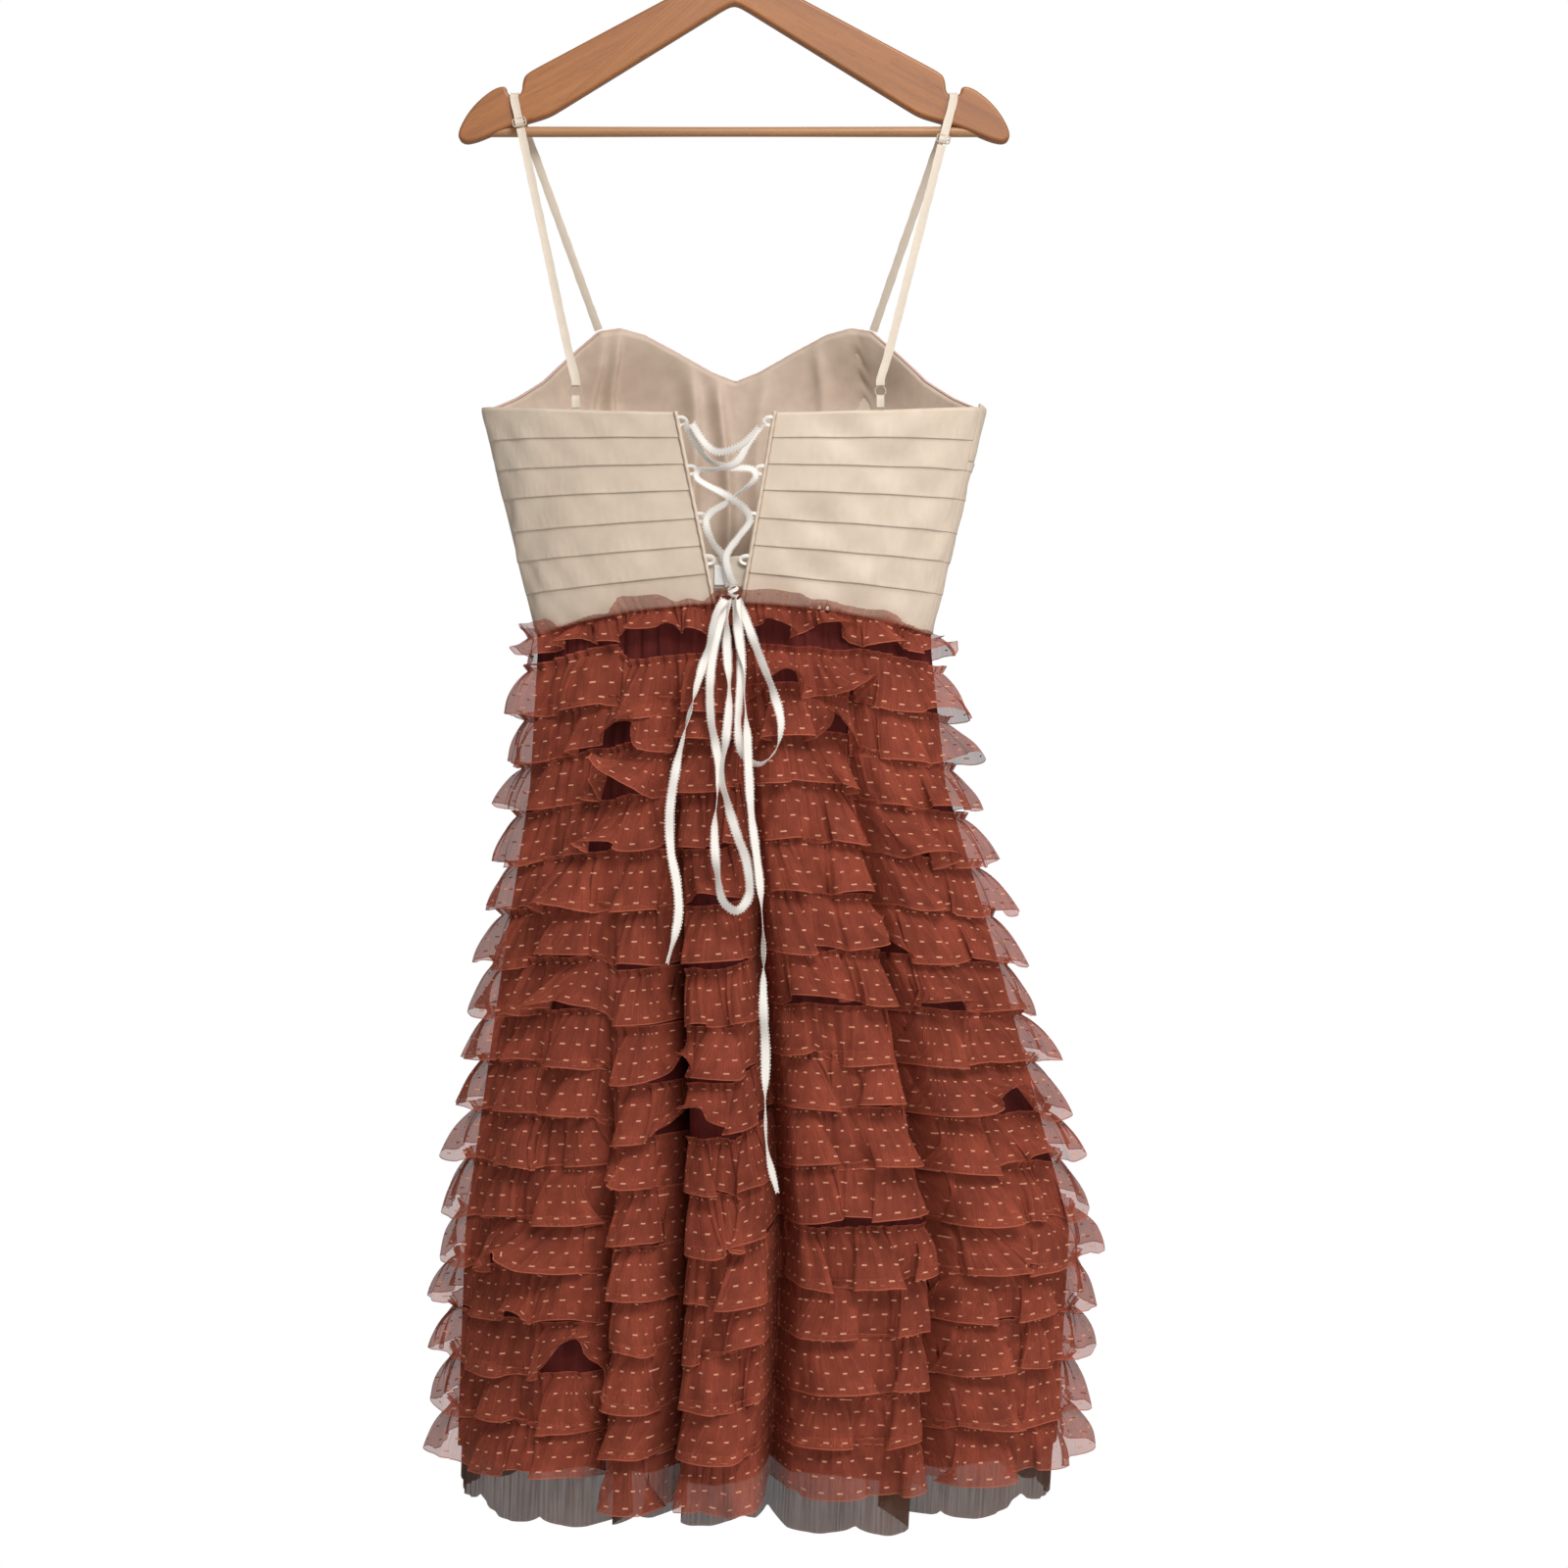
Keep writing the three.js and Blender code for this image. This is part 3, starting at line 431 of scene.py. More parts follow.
def cord_line(points):
    return [(x, -float(np.interp(z, RIBBON_LAY_Z, RIBBON_LAY_Y)) - over, z) for x, z, over in points]


for number, (name, points) in enumerate(RIBBON_ROUTES.items()):
    turned_by = {"ribbon_end_left": 0.55, "ribbon_end_right": 0.85}.get(name, 0.2)
    piece, line, even, side, face = ribbon_piece("hanging_" + name, cord_line(points), turned_by=turned_by)
    edging = add_picots(piece, line, side, RIBBON_WIDTH, number)
    join_on(piece, name)


# The skirt's two under layers.
# A plum layer and under it a grey brown net, both gathered into the waist seam, carry the ruffles.
# The net is the longest piece of the skirt, and its edge shows below the last ruffle.
SKIRT_Z = (-1310, -1090, -894, -737, -617, -587)
SKIRT_WIDE = (238, 241, 201, 166, 156.6, 163.9)
SKIRT_DEEP = (127, 116, 90, 62, 37.6, 39.3)
SKIRT_SWING = (17, 27, 14, 3, 0, 0)
SKIRT_FOLD = (32, 31, 26, 9, 0, 0)
SKIRT_FOLD_LOW = (28, 16, 0, 0, 0, 0)
VALLEYS = ((-33, True, 1), (-18, False, 0.9), (3.3, False, 1), (36, False, 1), (136, False, 0.9),
           (163, True, 1), (190, False, 1), (224, False, 0.8))
SIDE_SEAMS = (-90, 76.67)


def waist_edge(turn):
    level = math.cos(math.radians(SIDE_SEAMS[1]))
    rise = np.clip((np.cos(np.radians(turn)) - level) / (1 - level), 0, None)
    return -617 + 22 * rise**1.5


def skirt_form(z):
    forms = (SKIRT_WIDE, SKIRT_DEEP, SKIRT_SWING, SKIRT_FOLD, SKIRT_FOLD_LOW)
    return [np.interp(z, SKIRT_Z, row) for row in forms]


def nearness(turn, centre, half):
    """From 1 at this turn down to 0 at so many degrees from it."""
    return np.clip(1 - np.abs((turn - centre + 540) % 360 - 180) / half, 0, 1)


def skirt_point(turn, z, out=0.0):
    """A point of the plum layer, or out millimetres outside it, at a turn round the body and a height."""
    wide, deep, swing, fold, low = skirt_form(z)
    valley = 0
    for centre, opens_low, share in VALLEYS:
        across = 0.8 * nearness(turn, centre, 13) ** 1.7 + 1.4 * nearness(turn, centre, 3.1)
        valley = valley + share * (low if opens_low else fold) * across
    proud = out - valley
    s, c = np.sin(np.radians(turn)), np.cos(np.radians(turn))
    return np.stack(np.broadcast_arrays(swing + (wide + proud) * s, -(deep + proud) * c, z), -1)


def soft_noise(seed, *axes):
    """A smooth uneven value from about -1 to 1 over these axes, each already in waves."""
    picks = np.random.default_rng(seed)
    total = 0
    for _ in range(6):
        phase = picks.uniform(0, 2 * math.pi)
        swirl = sum(axis * picks.uniform(0.5, 1.6) * picks.choice([-1, 1]) for axis in axes)
        total = total + np.sin(swirl * 2 * math.pi + phase)
    return total / 3.2


def sheer_maker(name, pale, dark, thread, alpha, dashes, edge, sheen=0.05):
    """Sheer net: its own threads, a woven dash where it has one, and along its cut edges a denser line in
    the lighter thread colour: the denser edge is real, its lightness partly a painted highlight of the edge
    catching light.
    """
    maker = Maker(name)
    height, shade = maker.weave(420, 1.5)
    colour = maker.mix(maker.swing(maker.noise(24, 3), 2.2, shade), dark, pale)
    split = add_node(maker.tree, "ShaderNodeSeparateXYZ", {0: maker.uv}).node
    along, down = split.outputs[0], split.outputs[1]
    lines = maker.noise(1.0, 2, (520, 16))
    colour = maker.mix(maker.sums("MULTIPLY", maker.swing(lines, 0.6, 0.5), 0.48), colour, thread)
    cover = maker.swing(lines, 0.22, alpha)
    # The cut edges: real denser net there, and the lighter thread colour mixed in is partly a painted
    # highlight of the edge catching light
    ends = maker.sums("LESS_THAN", down, edge[0]), maker.sums("GREATER_THAN", down, edge[1])
    hem = maker.sums("MAXIMUM", *ends)
    colour = maker.mix(maker.sums("MULTIPLY", hem, 0.4), colour, thread)
    cover = maker.sums("MAXIMUM", cover, maker.sums("MULTIPLY", hem, 0.85))
    if dashes:
        step_along, step_down, long, tall, dash_colour = dashes
        row = maker.sums("DIVIDE", down, step_down)
        row_count = maker.sums("FLOOR", row)
        in_row = maker.sums("ABSOLUTE", maker.sums("SUBTRACT", maker.sums("FRACT", row), 0.5))
        stagger = maker.sums("MULTIPLY", row_count, 0.5)
        place = maker.sums("ADD", maker.sums("DIVIDE", along, step_along), stagger)
        place = maker.sums("MULTIPLY_ADD", maker.noise(35, 2), 0.5, place)
        in_place = maker.sums("ABSOLUTE", maker.sums("SUBTRACT", maker.sums("FRACT", place), 0.5))
        dash = maker.sums(
            "MULTIPLY",
            maker.sums("LESS_THAN", in_row, tall / step_down / 2),
            maker.sums("LESS_THAN", in_place, long / step_along / 2),
        )
        colour = maker.mix(maker.sums("MULTIPLY", dash, 0.85), colour, dash_colour)
        cover = maker.sums("MAXIMUM", cover, dash)
    maker.feed(
        Base_Color=colour, Alpha=cover, Roughness=0.8, Specular_IOR_Level=0.2, Sheen_Weight=sheen,
        Sheen_Roughness=0.3, Sheen_Tint=(*thread, 1),
    )
    crinkle = maker.noise(1.0, 3, (150, 30), 0.6)
    maker.bump(maker.sums("MULTIPLY_ADD", height, 0.12, crinkle), 0.0022, 0.6)
    return maker


net_maker = sheer_maker(
    "grey brown net", (0.105, 0.045, 0.028), (0.05, 0.020, 0.012), (0.17, 0.085, 0.055), 0.90,
    None, (0.0012, 10),
)
plum_maker = sheer_maker(
    "plum net", (0.115, 0.013, 0.011), (0.05, 0.006, 0.006), (0.18, 0.027, 0.020), 0.97,
    None, (0.0012, 10),
)


def skirt_layer(name, out, hem_at, finish, gathers, rows, columns):
    turn = np.linspace(-180, 180, columns, endpoint=False)[None, :]
    share = np.linspace(0, 1, rows)[:, None] ** 0.9
    top = waist_edge(turn) + 6
    hem = hem_at(turn)
    z = top + (hem - top) * share
    fold = gathers * (0.5 + 0.5 * np.minimum(1, share * 3)) * soft_noise(7, turn / 7.3, share * 0.4)
    fine = gathers * 0.5 * soft_noise(8, turn / 3.1, share * 0.25) * (1 - share * 0.6)
    points = skirt_point(turn, z, out + fold + fine - gathers * 0.4)
    length = np.cumsum(np.linalg.norm(np.diff(points, axis=1, append=points[:, :1]), axis=2), axis=1)
    u = np.concatenate([np.zeros((rows, 1)), length], 1) * 0.001
    v = (z - hem) * 0.001
    v = np.concatenate([v, v[:, :1]], 1)
    piece = cloth_piece(name, points, np.stack([np.broadcast_to(u[rows // 2], v.shape), v], -1), ring=True)
    piece.data.materials.append(finish.material)
    return piece, (length[:, -1].mean() * 0.001, float((top - hem).mean()) * 0.001)


def net_hem(turn):
    lobes = 10 * np.abs(np.sin(np.radians(turn * 8.5 + 20))) ** 0.6
    return -1300 - lobes + 5 * np.cos(np.radians(turn * 5 + 40)) + 7


plum_layer, plum_cut = skirt_layer(
    "plum_layer", 0, lambda turn: -1262 + 4 * np.sin(np.radians(turn * 9)), plum_maker, 1.6, 44, 720
)
net_layer, net_cut = skirt_layer("net_layer", -3, net_hem, net_maker, 1.4, 44, 720)
for piece, node, material_slot, cut in (
    (plum_layer, "skirt_plum", "plum_cloth", plum_cut),
    (net_layer, "skirt_net", "grey_net", net_cut),
):
    join_on(piece, node)


# The sixteen ruffles.
# Each is a strip of rust tulle with small woven dashes, gathered a little below its upper edge and
# sewn to the plum layer there, so that a frilled header stands above the stitches.
tulle_maker = sheer_maker(
    "rust tulle", (0.43, 0.074, 0.040), (0.165, 0.020, 0.011), (0.63, 0.18, 0.10), 0.62,
    (0.0165, 0.0110, 0.0046, 0.0011, (0.80, 0.40, 0.26)), (0.0009, 0.0441), 0.28,
)
RUFFLE_HEADER, RUFFLE_FALL = 6.5, 38.5
RUFFLE_FIRST_HEM, RUFFLE_STEP, RUFFLES = -684.5, 38.9, 16
# How much lower the tiers hang on the two middle columns of the skirt than the waist seam's rise gives
LOWER_LEFT_OF_MIDDLE = (14, 6, -2, -2, 3, 5, 13, 16, 18, 18, 18, 18, 18, 18, 18, 18)
LOWER_RIGHT_OF_MIDDLE = (7, -3, -10, -10, -6, -6, -2, -2, -6, -5, -5, 2, 3, 5, 10, 5)
COLUMN_TURNS = (-180, -140, -120, -60, -34, -30, -5, 0, 5, 33, 38, 76, 110, 130, 140, 160, 180)


def tier_hem(tier, turn):
    """The height of a ruffle's hem. The upper ones rise towards the centre back with the waist seam."""
    left, right = LOWER_LEFT_OF_MIDDLE[tier], LOWER_RIGHT_OF_MIDDLE[tier]
    lower = (8, 8, 0, 0, 0, left, left, (left + right) / 2, right, right, 1, 2, 0, 0, 12, 12, 8)
    rising = (waist_edge(turn) + 617) * max(0, 1 - tier / 11)
    return RUFFLE_FIRST_HEM - RUFFLE_STEP * tier + rising - np.interp(turn, COLUMN_TURNS, lower)


def ring_arc(turn, z):
    """Millimetres of the ring for one degree of turn."""
    wide, deep = skirt_form(z)[:2]
    a = np.radians(turn)
    return np.hypot(wide * np.cos(a), deep * np.sin(a)) * math.pi / 180


def eased(share):
    """The same share from 0 to 1, with a slow start and end."""
    return share * share * (3 - 2 * share)


def in_valley(turn):
    """From 0 to 1: how deep in one of the skirt's valleys this turn lies."""
    depth = 0
    for centre, _, share in VALLEYS:
        depth = np.maximum(depth, eased(nearness(turn, centre, 6)) * share)
    return depth


def ruffle_piece(name, hem_at, finish, lobe, seed, changes=(), header=RUFFLE_HEADER, fall=RUFFLE_FALL):
    """A gathered strip round the skirt: header above its stitches, fall below them, in lobes."""
    picks = np.random.default_rng(seed)
    turns = np.linspace(-180, 180, 1441)
    hem_z = float(hem_at(np.array(90.0)))
    arc = np.concatenate([[0], np.cumsum(ring_arc(turns[:-1] + 0.125, hem_z) * 0.25)])
    # A fold edge lies in each of the skirt's valleys, and others come at uneven steps between them
    tucked = sorted((centre + 180) % 360 - 180 for centre, low, share in VALLEYS)
    tucked = [np.interp(at, turns, arc) + picks.uniform(-5, 5) for at in tucked]
    marks = []
    for here, after in zip(tucked, tucked[1:] + [tucked[0] + arc[-1]]):
        parts = max(1, int(round((after - here) / lobe)))
        inner = np.arange(1, parts) + picks.uniform(-0.24, 0.24, parts - 1)
        marks += [here, *(here + (after - here) * inner / parts)]
    count = len(marks)
    marks = np.array(marks + [tucked[0] + arc[-1]])
    per_lobe = 44
    q = np.arange(count * per_lobe) / per_lobe
    turn = np.interp(np.interp(q, np.arange(count + 1), marks) % arc[-1], arc, turns)[None, :]
    which = np.floor(q).astype(int)
    part = q - which

    def by_lobe(low, high):
        values = picks.uniform(low, high, count)
        other = np.where(part > 0.5, np.roll(values, -1)[which], np.roll(values, 1)[which])
        share = eased(np.clip(np.abs(part - 0.5) - 0.3, 0, 0.2) / 0.4)
        return (values[which] * (1 - share) + other * share)[None, :]

    low_header = header < 9
    phase = 2 * math.pi * q[None, :]
    above = np.linspace(-header, 0, 4 if low_header else 7)[:-1]
    depth = np.concatenate([above, np.linspace(0, 1, 12) * fall])[:, None]
    share = np.clip(depth / fall, 0, 1)
    head = np.clip(-depth / header, 0, 1)
    valley = in_valley(turn)
    at_side = np.clip((np.abs(np.sin(np.radians(turn))) - 0.9) / 0.1, 0, 1)
    lean = by_lobe(3, 17) * (1 - 0.8 * valley) + 12 * at_side
    bell = by_lobe(5.0, 10.5) * (1 - 0.5 * valley) * (1 - 0.2 * at_side)
    crisp = by_lobe(0.3, 1.2) * (1 - 0.55 * at_side)
    broad = by_lobe(0.15, 0.6)
    slant = by_lobe(-9, 9)
    sag = by_lobe(-4.0, 5.5)

    curl, lift, drag = 0 * turn, 0 * turn, 0 * turn
    for at, half, curl_by, lift_by, drag_by in changes:
        near = eased(nearness(turn, at, half))
        curl, lift, drag = curl + curl_by * near, lift + lift_by * near, drag + drag_by * near
    lean_here = lean * (1.75 - 1.5 * share) + 16 * (1 - share) ** 3
    lean_here = np.radians(lean_here + lift * np.clip(share * 2, 0, 1) + curl * share)
    step_down = np.diff(depth[:, 0], prepend=depth[0, 0])[:, None]
    below = (depth > 0).astype(float)
    out = np.cumsum(step_down * np.sin(lean_here) * below, axis=0)
    drop = np.cumsum(step_down * np.cos(lean_here) * below, axis=0)
    out = out + (1.4 if low_header else 2.8) + 5 * at_side + head * by_lobe(0.3, 0.85) * header
    drop = drop - head * header * by_lobe(0.65 if low_header else 0.1, 1.05) + sag * share

    grow = share**0.75
    fine = np.sin(phase * 5 + 2.4 * np.sin(phase + seed) + 1.6 * soft_noise(seed + 4, q[None, :] / 2.1))
    fine = fine * (2.0 - 0.7 * grow + (1.2 if low_header else -0.9) * head)
    fine = fine * (0.65 + 0.35 * soft_noise(seed + 5, q[None, :] / 2.3))
    open_out = 1 - 0.6 * np.clip((curl + lift) / 90, 0, 1)
    out = out + bell * grow * -np.cos(phase) * open_out + fine
    out = out + 0.9 * share * soft_noise(seed + 1, q[None, :] * 1.7, share * 0.8)
    long = np.diff(marks)[which][None, :]
    shift = long / (2 * math.pi) * grow * open_out * (crisp * np.sin(2 * phase) - broad * np.sin(phase))
    shift = shift + (slant * share**1.5 * np.sin(phase / 2) ** 2 + drag * share)
    shift = shift + fine * 0.9 * np.cos(5 * phase)
    z = hem_at(turn) + fall * 0.97 - drop + (1.1 + 1.6 * share) * soft_noise(seed + 2, q[None, :] * 1.1)
    out = out + 0.32 * np.clip(z + 592, 0, None)
    where = turn + shift / ring_arc(turn, hem_z)
    points = skirt_point(where, z, np.maximum(out, 0.7 + 0.03 * depth))
    along = np.cumsum(np.linalg.norm(np.diff(points[-1], axis=0, append=points[-1][:1]), axis=1))
    u = np.concatenate([[0], along]) * 0.001 + seed * 0.0137
    v = (fall - depth) * 0.001
    uv = np.stack(np.broadcast_arrays(u[None, :], v), -1)
    piece = cloth_piece(name, points, uv, ring=True)
    piece.data.materials.append(finish.material)
    return piece, along[-1] * 0.001


# Flaps that lie otherwise than the rest: tier, turn, half width, curl, lift and sideways drag
STRAY_FLAPS = (
    (0, 12, 9, 60, 30, 0), (0, 72, 22, 0, 38, 0), (0, 30, 8, 90, 0, 8), (1, -31, 8, 150, 0, 14),
    (1, 78, 20, 0, 34, 0), (1, 27, 7, 100, 20, -8), (2, -28, 10, 90, 40, -12), (3, -34, 9, 60, 10, -14),
    (4, -48, 9, 50, 0, 0), (5, 33, 7, 90, 20, 10), (7, -18, 9, 110, 0, 10), (6, 46, 12, 70, 0, -12),
    (8, 55, 18, 110, 0, 0), (8, -14, 14, 120, 0, 0), (9, 60, 14, 50, 0, 0), (11, -48, 12, 60, 20, -10),
    (13, -36, 7, 110, 30, 0), (12, -50, 8, 60, 0, 10), (8, 160, 14, 60, 0, 0), (3, 120, 12, 60, 0, 0),
    (5, -120, 12, 70, 0, 8), (10, 150, 10, 90, 0, 0), (12, 200, 12, 60, 0, 0),
    (1, -12, 9, 40, 0, -8), (2, 22, 9, 35, 15, 12), (3, 44, 11, 30, 15, 10), (4, -10, 9, 40, 0, 8),
    (6, -40, 12, 35, 0, -12), (6, 14, 9, 40, 0, 8), (7, 52, 12, 40, 0, -14), (9, -30, 10, 35, 10, 10),
    (10, 18, 12, 45, 0, -8), (10, -8, 9, 40, 0, 8), (11, 48, 11, 40, 10, 10), (13, 12, 9, 40, 0, 8),
    (14, -20, 12, 45, 0, -8), (14, 46, 12, 30, 0, 10), (15, -46, 12, 30, 0, 8), (9, 25, 9, 40, 0, 10),
)
for tier in range(RUFFLES):
    changes = [row[1:] for row in STRAY_FLAPS if row[0] == tier]
    lobe = 45 + 12 * tier / (RUFFLES - 1)
    name = f"ruffle_{tier + 1:02d}"
    piece, length = ruffle_piece(
        "tulle_" + name, lambda turn: tier_hem(tier, turn), tulle_maker, lobe, 300 + tier, changes
    )
    join_on(piece, name)


# The bodice's two tucked back panels.
# Champagne satin, lined, with six pin tucks pressed downwards in each panel and sewn into the side
# seam and the rolled edge of the laced opening. The folds rise a little towards the centre.
BODICE_Z = (-617, -587, -500, -438, -363)
BODICE_WIDE = (159, 166.3, 187.4, 202.5, 204)
BODICE_BACK = (40, 41.7, 46.6, 50.1, 50)
BODICE_FRONT = (40, 41.7, 53, 60, 58)
TUCKS = ((-463, -466), (-487, -486), (-510, -506), (-536.5, -527), (-560, -548), (-585.5, -569))
OPENING_TOP, OPENING_BOTTOM = -446, -597
OPENING = {"left": (-43, -13), "right": (31, 5)}
SATIN, TUCK_RELIEF = 2.0, 0.95


def bodice_point(turn, z, out=0.0):
    turn, z = np.asarray(turn, float), np.asarray(z, float)
    wide, back, front = (np.interp(z, BODICE_Z, row) for row in (BODICE_WIDE, BODICE_BACK, BODICE_FRONT))
    s, c = np.sin(np.radians(turn)), np.cos(np.radians(turn))
    from_front = 180 - np.abs((turn + 180) % 360 - 180)
    swell = 20 * np.exp(-(((from_front - 29) / 15) ** 2)) * np.exp(-(((z + 425) / 38) ** 2))
    proud = out + np.where(c > 0, 0, swell)
    deep = np.where(c > 0, back, front)
    return np.stack(np.broadcast_arrays((wide + proud) * s, -(deep + proud) * c, z), -1)


def back_top(turn):
    return -436 - 10 * np.cos(np.radians(turn)) ** 2


def opening_turn(side, z, inwards=0.0):
    top, bottom = OPENING[side]
    share = (OPENING_TOP - z) / (OPENING_TOP - OPENING_BOTTOM)
    x = top + (bottom - top) * share + (-inwards if side == "left" else inwards)
    return np.degrees(np.arcsin(x / np.interp(z, BODICE_Z, BODICE_WIDE)))


def tucked_rows(top, bottom, folds):
    """Heights and stand-outs of the rows of a tucked panel, for each column."""
    rows = [(top, 0.4 * TUCK_RELIEF + 0 * top)]
    upper = top
    for fold in folds:
        for t in (0.12, 0.3, 0.5, 0.7, 0.86):
            rise = t**1.2 if upper is not top else 0.4 + 0.6 * t
            rows.append((upper + (fold - upper) * t, TUCK_RELIEF * rise + 0 * top))
        for lift, share in ((1.1, 0.98), (0.35, 1.03), (-0.3, 0.9), (-0.1, 0.35), (-0.5, 0.0)):
            rows.append((fold + lift, TUCK_RELIEF * share + 0 * top))
        upper = fold - 0.5
    for t in (0.15, 0.35, 0.55, 0.75, 0.9, 1.0):
        rows.append((upper + (bottom - upper) * t, TUCK_RELIEF * 0.5 * t + 0 * top))
    return np.array([row[0] for row in rows]), np.array([row[1] for row in rows])


def set_outwards(piece):
    work = bmesh.new()
    work.from_mesh(piece.data)
    bmesh.ops.recalc_face_normals(work, faces=work.faces)
    work.to_mesh(piece.data)
    work.free()


def wall_piece(name, outer, inner, uv, finish, ring=False):
    """A closed wall of cloth between two grids of points."""
    rows, columns = outer.shape[:2]
    row, column = grid_squares(rows, columns, ring)
    front = row * columns + column % columns
    faces = np.concatenate([front, front[:, ::-1] + rows * columns])
    uvs = np.concatenate([uv[row, column], uv[row[:, ::-1], column[:, ::-1]]])
    rim, rim_uv = [], []

    def join(cells, closed):
        for (r0, c0), (r1, c1) in zip(cells, cells[1:] + (cells[:1] if closed else [])):
            a, b = r0 * columns + c0 % columns, r1 * columns + c1 % columns
            rim.append([b, a, a + rows * columns, b + rows * columns])
            rim_uv.append([uv[r1, c1], uv[r0, c0], uv[r0, c0], uv[r1, c1]])

    if ring:
        join([(0, c) for c in range(columns)][::-1], True)
        join([(rows - 1, c) for c in range(columns)], True)
    else:
        border = [(0, c) for c in range(columns - 1, 0, -1)] + [(r, 0) for r in range(rows - 1)]
        border += [(rows - 1, c) for c in range(columns - 1)]
        border += [(r, columns - 1) for r in range(rows - 1, 0, -1)]
        join(border, True)
    piece = mesh_piece(
        name, np.concatenate([outer.reshape(-1, 3), inner.reshape(-1, 3)]),
        np.concatenate([faces, np.array(rim)]).tolist(), np.concatenate([uvs, np.array(rim_uv)]),
    )
    set_outwards(piece)
    piece.data.materials.append(finish.material)
    return piece


def satin_maker(name, light, dark, roughness):
    maker = Maker(name)
    height, shade = maker.weave(1500, 0.8)
    cloud = maker.noise(16, 4)
    maker.feed(
        Base_Color=maker.mix(maker.swing(cloud, 0.8, shade), dark, light),
        Roughness=maker.sums("MULTIPLY_ADD", cloud, 0.12, roughness - 0.06),
        Sheen_Weight=0.3, Sheen_Roughness=0.3, Sheen_Tint=(*light, 1),
    )
    maker.bump(maker.sums("MULTIPLY_ADD", height, 0.12, maker.noise(42, 3)), 0.0009, 0.35)
    return maker


satin = satin_maker("champagne satin", (0.80, 0.675, 0.55), (0.66, 0.535, 0.42), 0.36)
lining = satin_maker("satin lining", (0.72, 0.575, 0.465), (0.50, 0.385, 0.30), 0.5)


def crumple(turn, z, seed, amount):
    """Soft creases of hung satin."""
    broad = soft_noise(seed, turn / 34, z / 60)
    slanting = soft_noise(seed + 1, turn / 17 + z / 55, z / 130)
    fine = soft_noise(seed + 2, turn / 6.5, z / 19)
    return amount * (broad + 0.3 * slanting + 0.05 * fine)


def satin_panel(name, first_turn, last_turn, top_at, bottom_at, fold_at, seed, columns, seams):
    """A tucked panel between two edges, turns that may change with the height; tucks fade at its seams."""
    share = np.linspace(0, 1, columns)
    middle = first_turn(-520) + (last_turn(-520) - first_turn(-520)) * share
    z, out = tucked_rows(top_at(middle), bottom_at(middle), fold_at(middle))
    turn = first_turn(z) + (last_turn(z) - first_turn(z)) * share[None, :]
    pucker = 0.07 * np.sin(turn * 2.4 + 2 * soft_noise(seed + 9, turn / 11, z / 40)) * (out / TUCK_RELIEF)
    edge = np.minimum(1, np.minimum(share, 1 - share)[None, :] * 9)
    from_seam = np.minimum(share if seams[0] else 1, (1 - share) if seams[1] else 1)[None, :]
    flat = np.clip(from_seam / 0.13, 0.04, 1)
    ripple = (crumple(turn, z, seed, 1.3) + pucker) * edge
    outer = bodice_point(turn, z, out * flat * (0.55 + 0.45 * edge) + ripple)
    inner = bodice_point(turn, z, -SATIN + 0 * out)
    uv = np.stack([turn * 0.0031, z * 0.001], -1)
    return wall_piece(name, outer, inner, uv, satin)


def fold_heights(turn, tucks=TUCKS):
    lean = np.abs(np.sin(np.radians(turn)))
    return [centre + (side - centre) * lean for side, centre in tucks]


SEAM_TURN, BESIDE_OPENING = 0.2, 3.3
back_panels = {
    "left": satin_panel(
        "satin_back_left",
        lambda z: SIDE_SEAMS[0] + SEAM_TURN + 0 * z, lambda z: opening_turn("left", z, BESIDE_OPENING),
        back_top, waist_edge, fold_heights, 40, 150, (True, False),
    ),
    "right": satin_panel(
        "satin_back_right",
        lambda z: opening_turn("right", z, BESIDE_OPENING), lambda z: SIDE_SEAMS[1] - SEAM_TURN + 0 * z,
        back_top, waist_edge, fold_heights, 50, 150, (False, True),
    ),
}
for (side, piece), long, area in zip(back_panels.items(), (0.225, 0.19), (0.0385, 0.034)):
    join_on(piece, "back_" + side)


# The front: a tucked midriff, two cups and the satin lining behind them.
# The lining is what shows inside the neck above the back. It stops just under the sweetheart edge.
NECK_X = (0, 20, 50, 75, 95, 112, 130, 156, 180, 204)
NECK_Z = (-406, -398, -381, -368, -363, -366, -383, -408, -424, -437)
FRONT_FROM, FRONT_TO = SIDE_SEAMS[1], SIDE_SEAMS[0] + 360
UNDERBUST = -480


def neckline(turn):
    return np.interp(np.abs(np.sin(np.radians(turn))) * 204, NECK_X, NECK_Z)


midriff = satin_panel(
    "satin_midriff", lambda z: FRONT_FROM + SEAM_TURN + 0 * z, lambda z: FRONT_TO - SEAM_TURN + 0 * z,
    lambda turn: UNDERBUST - 0.2 + 0 * turn, lambda turn: -617 + 0 * turn,
    lambda turn: [side + 0 * turn for side, centre in TUCKS[1:]], 60, 200, (True, True),
)


def no_folds(turn, z):
    return 0 * turn


def smooth_wall(name, turns, rows, top_at, bottom_at, outer, inner, finish, seed, crease, folds=no_folds):
    turn = np.asarray(turns, float)[None, :]
    share = np.linspace(0, 1, rows)[:, None]
    z = top_at(turn) + (bottom_at(turn) - top_at(turn)) * share
    turn = turn + 0 * z
    ends = np.minimum(1, 8 * np.minimum(share, 1 - share) + 0.1)
    ripple = (crumple(turn, z, seed, crease) + folds(turn, z)) * ends
    uv = np.stack([turn * 0.0031, z * 0.001], -1)
    faces = [bodice_point(turn, z, out + ripple) for out in (outer, inner)]
    return wall_piece(name, *faces, uv, finish)


cups = {
    side: smooth_wall("satin_cup_" + side, np.linspace(first, last, columns), 30, neckline,
                      lambda turn: UNDERBUST + 0.2 + 0 * turn, 0, -SATIN, satin, seed, 0.5)
    for side, first, last, columns, seed in (
        ("right", FRONT_FROM + SEAM_TURN, 180 - SEAM_TURN, 90, 70),
        ("left", 180 + SEAM_TURN, FRONT_TO - SEAM_TURN, 80, 75),
    )
}
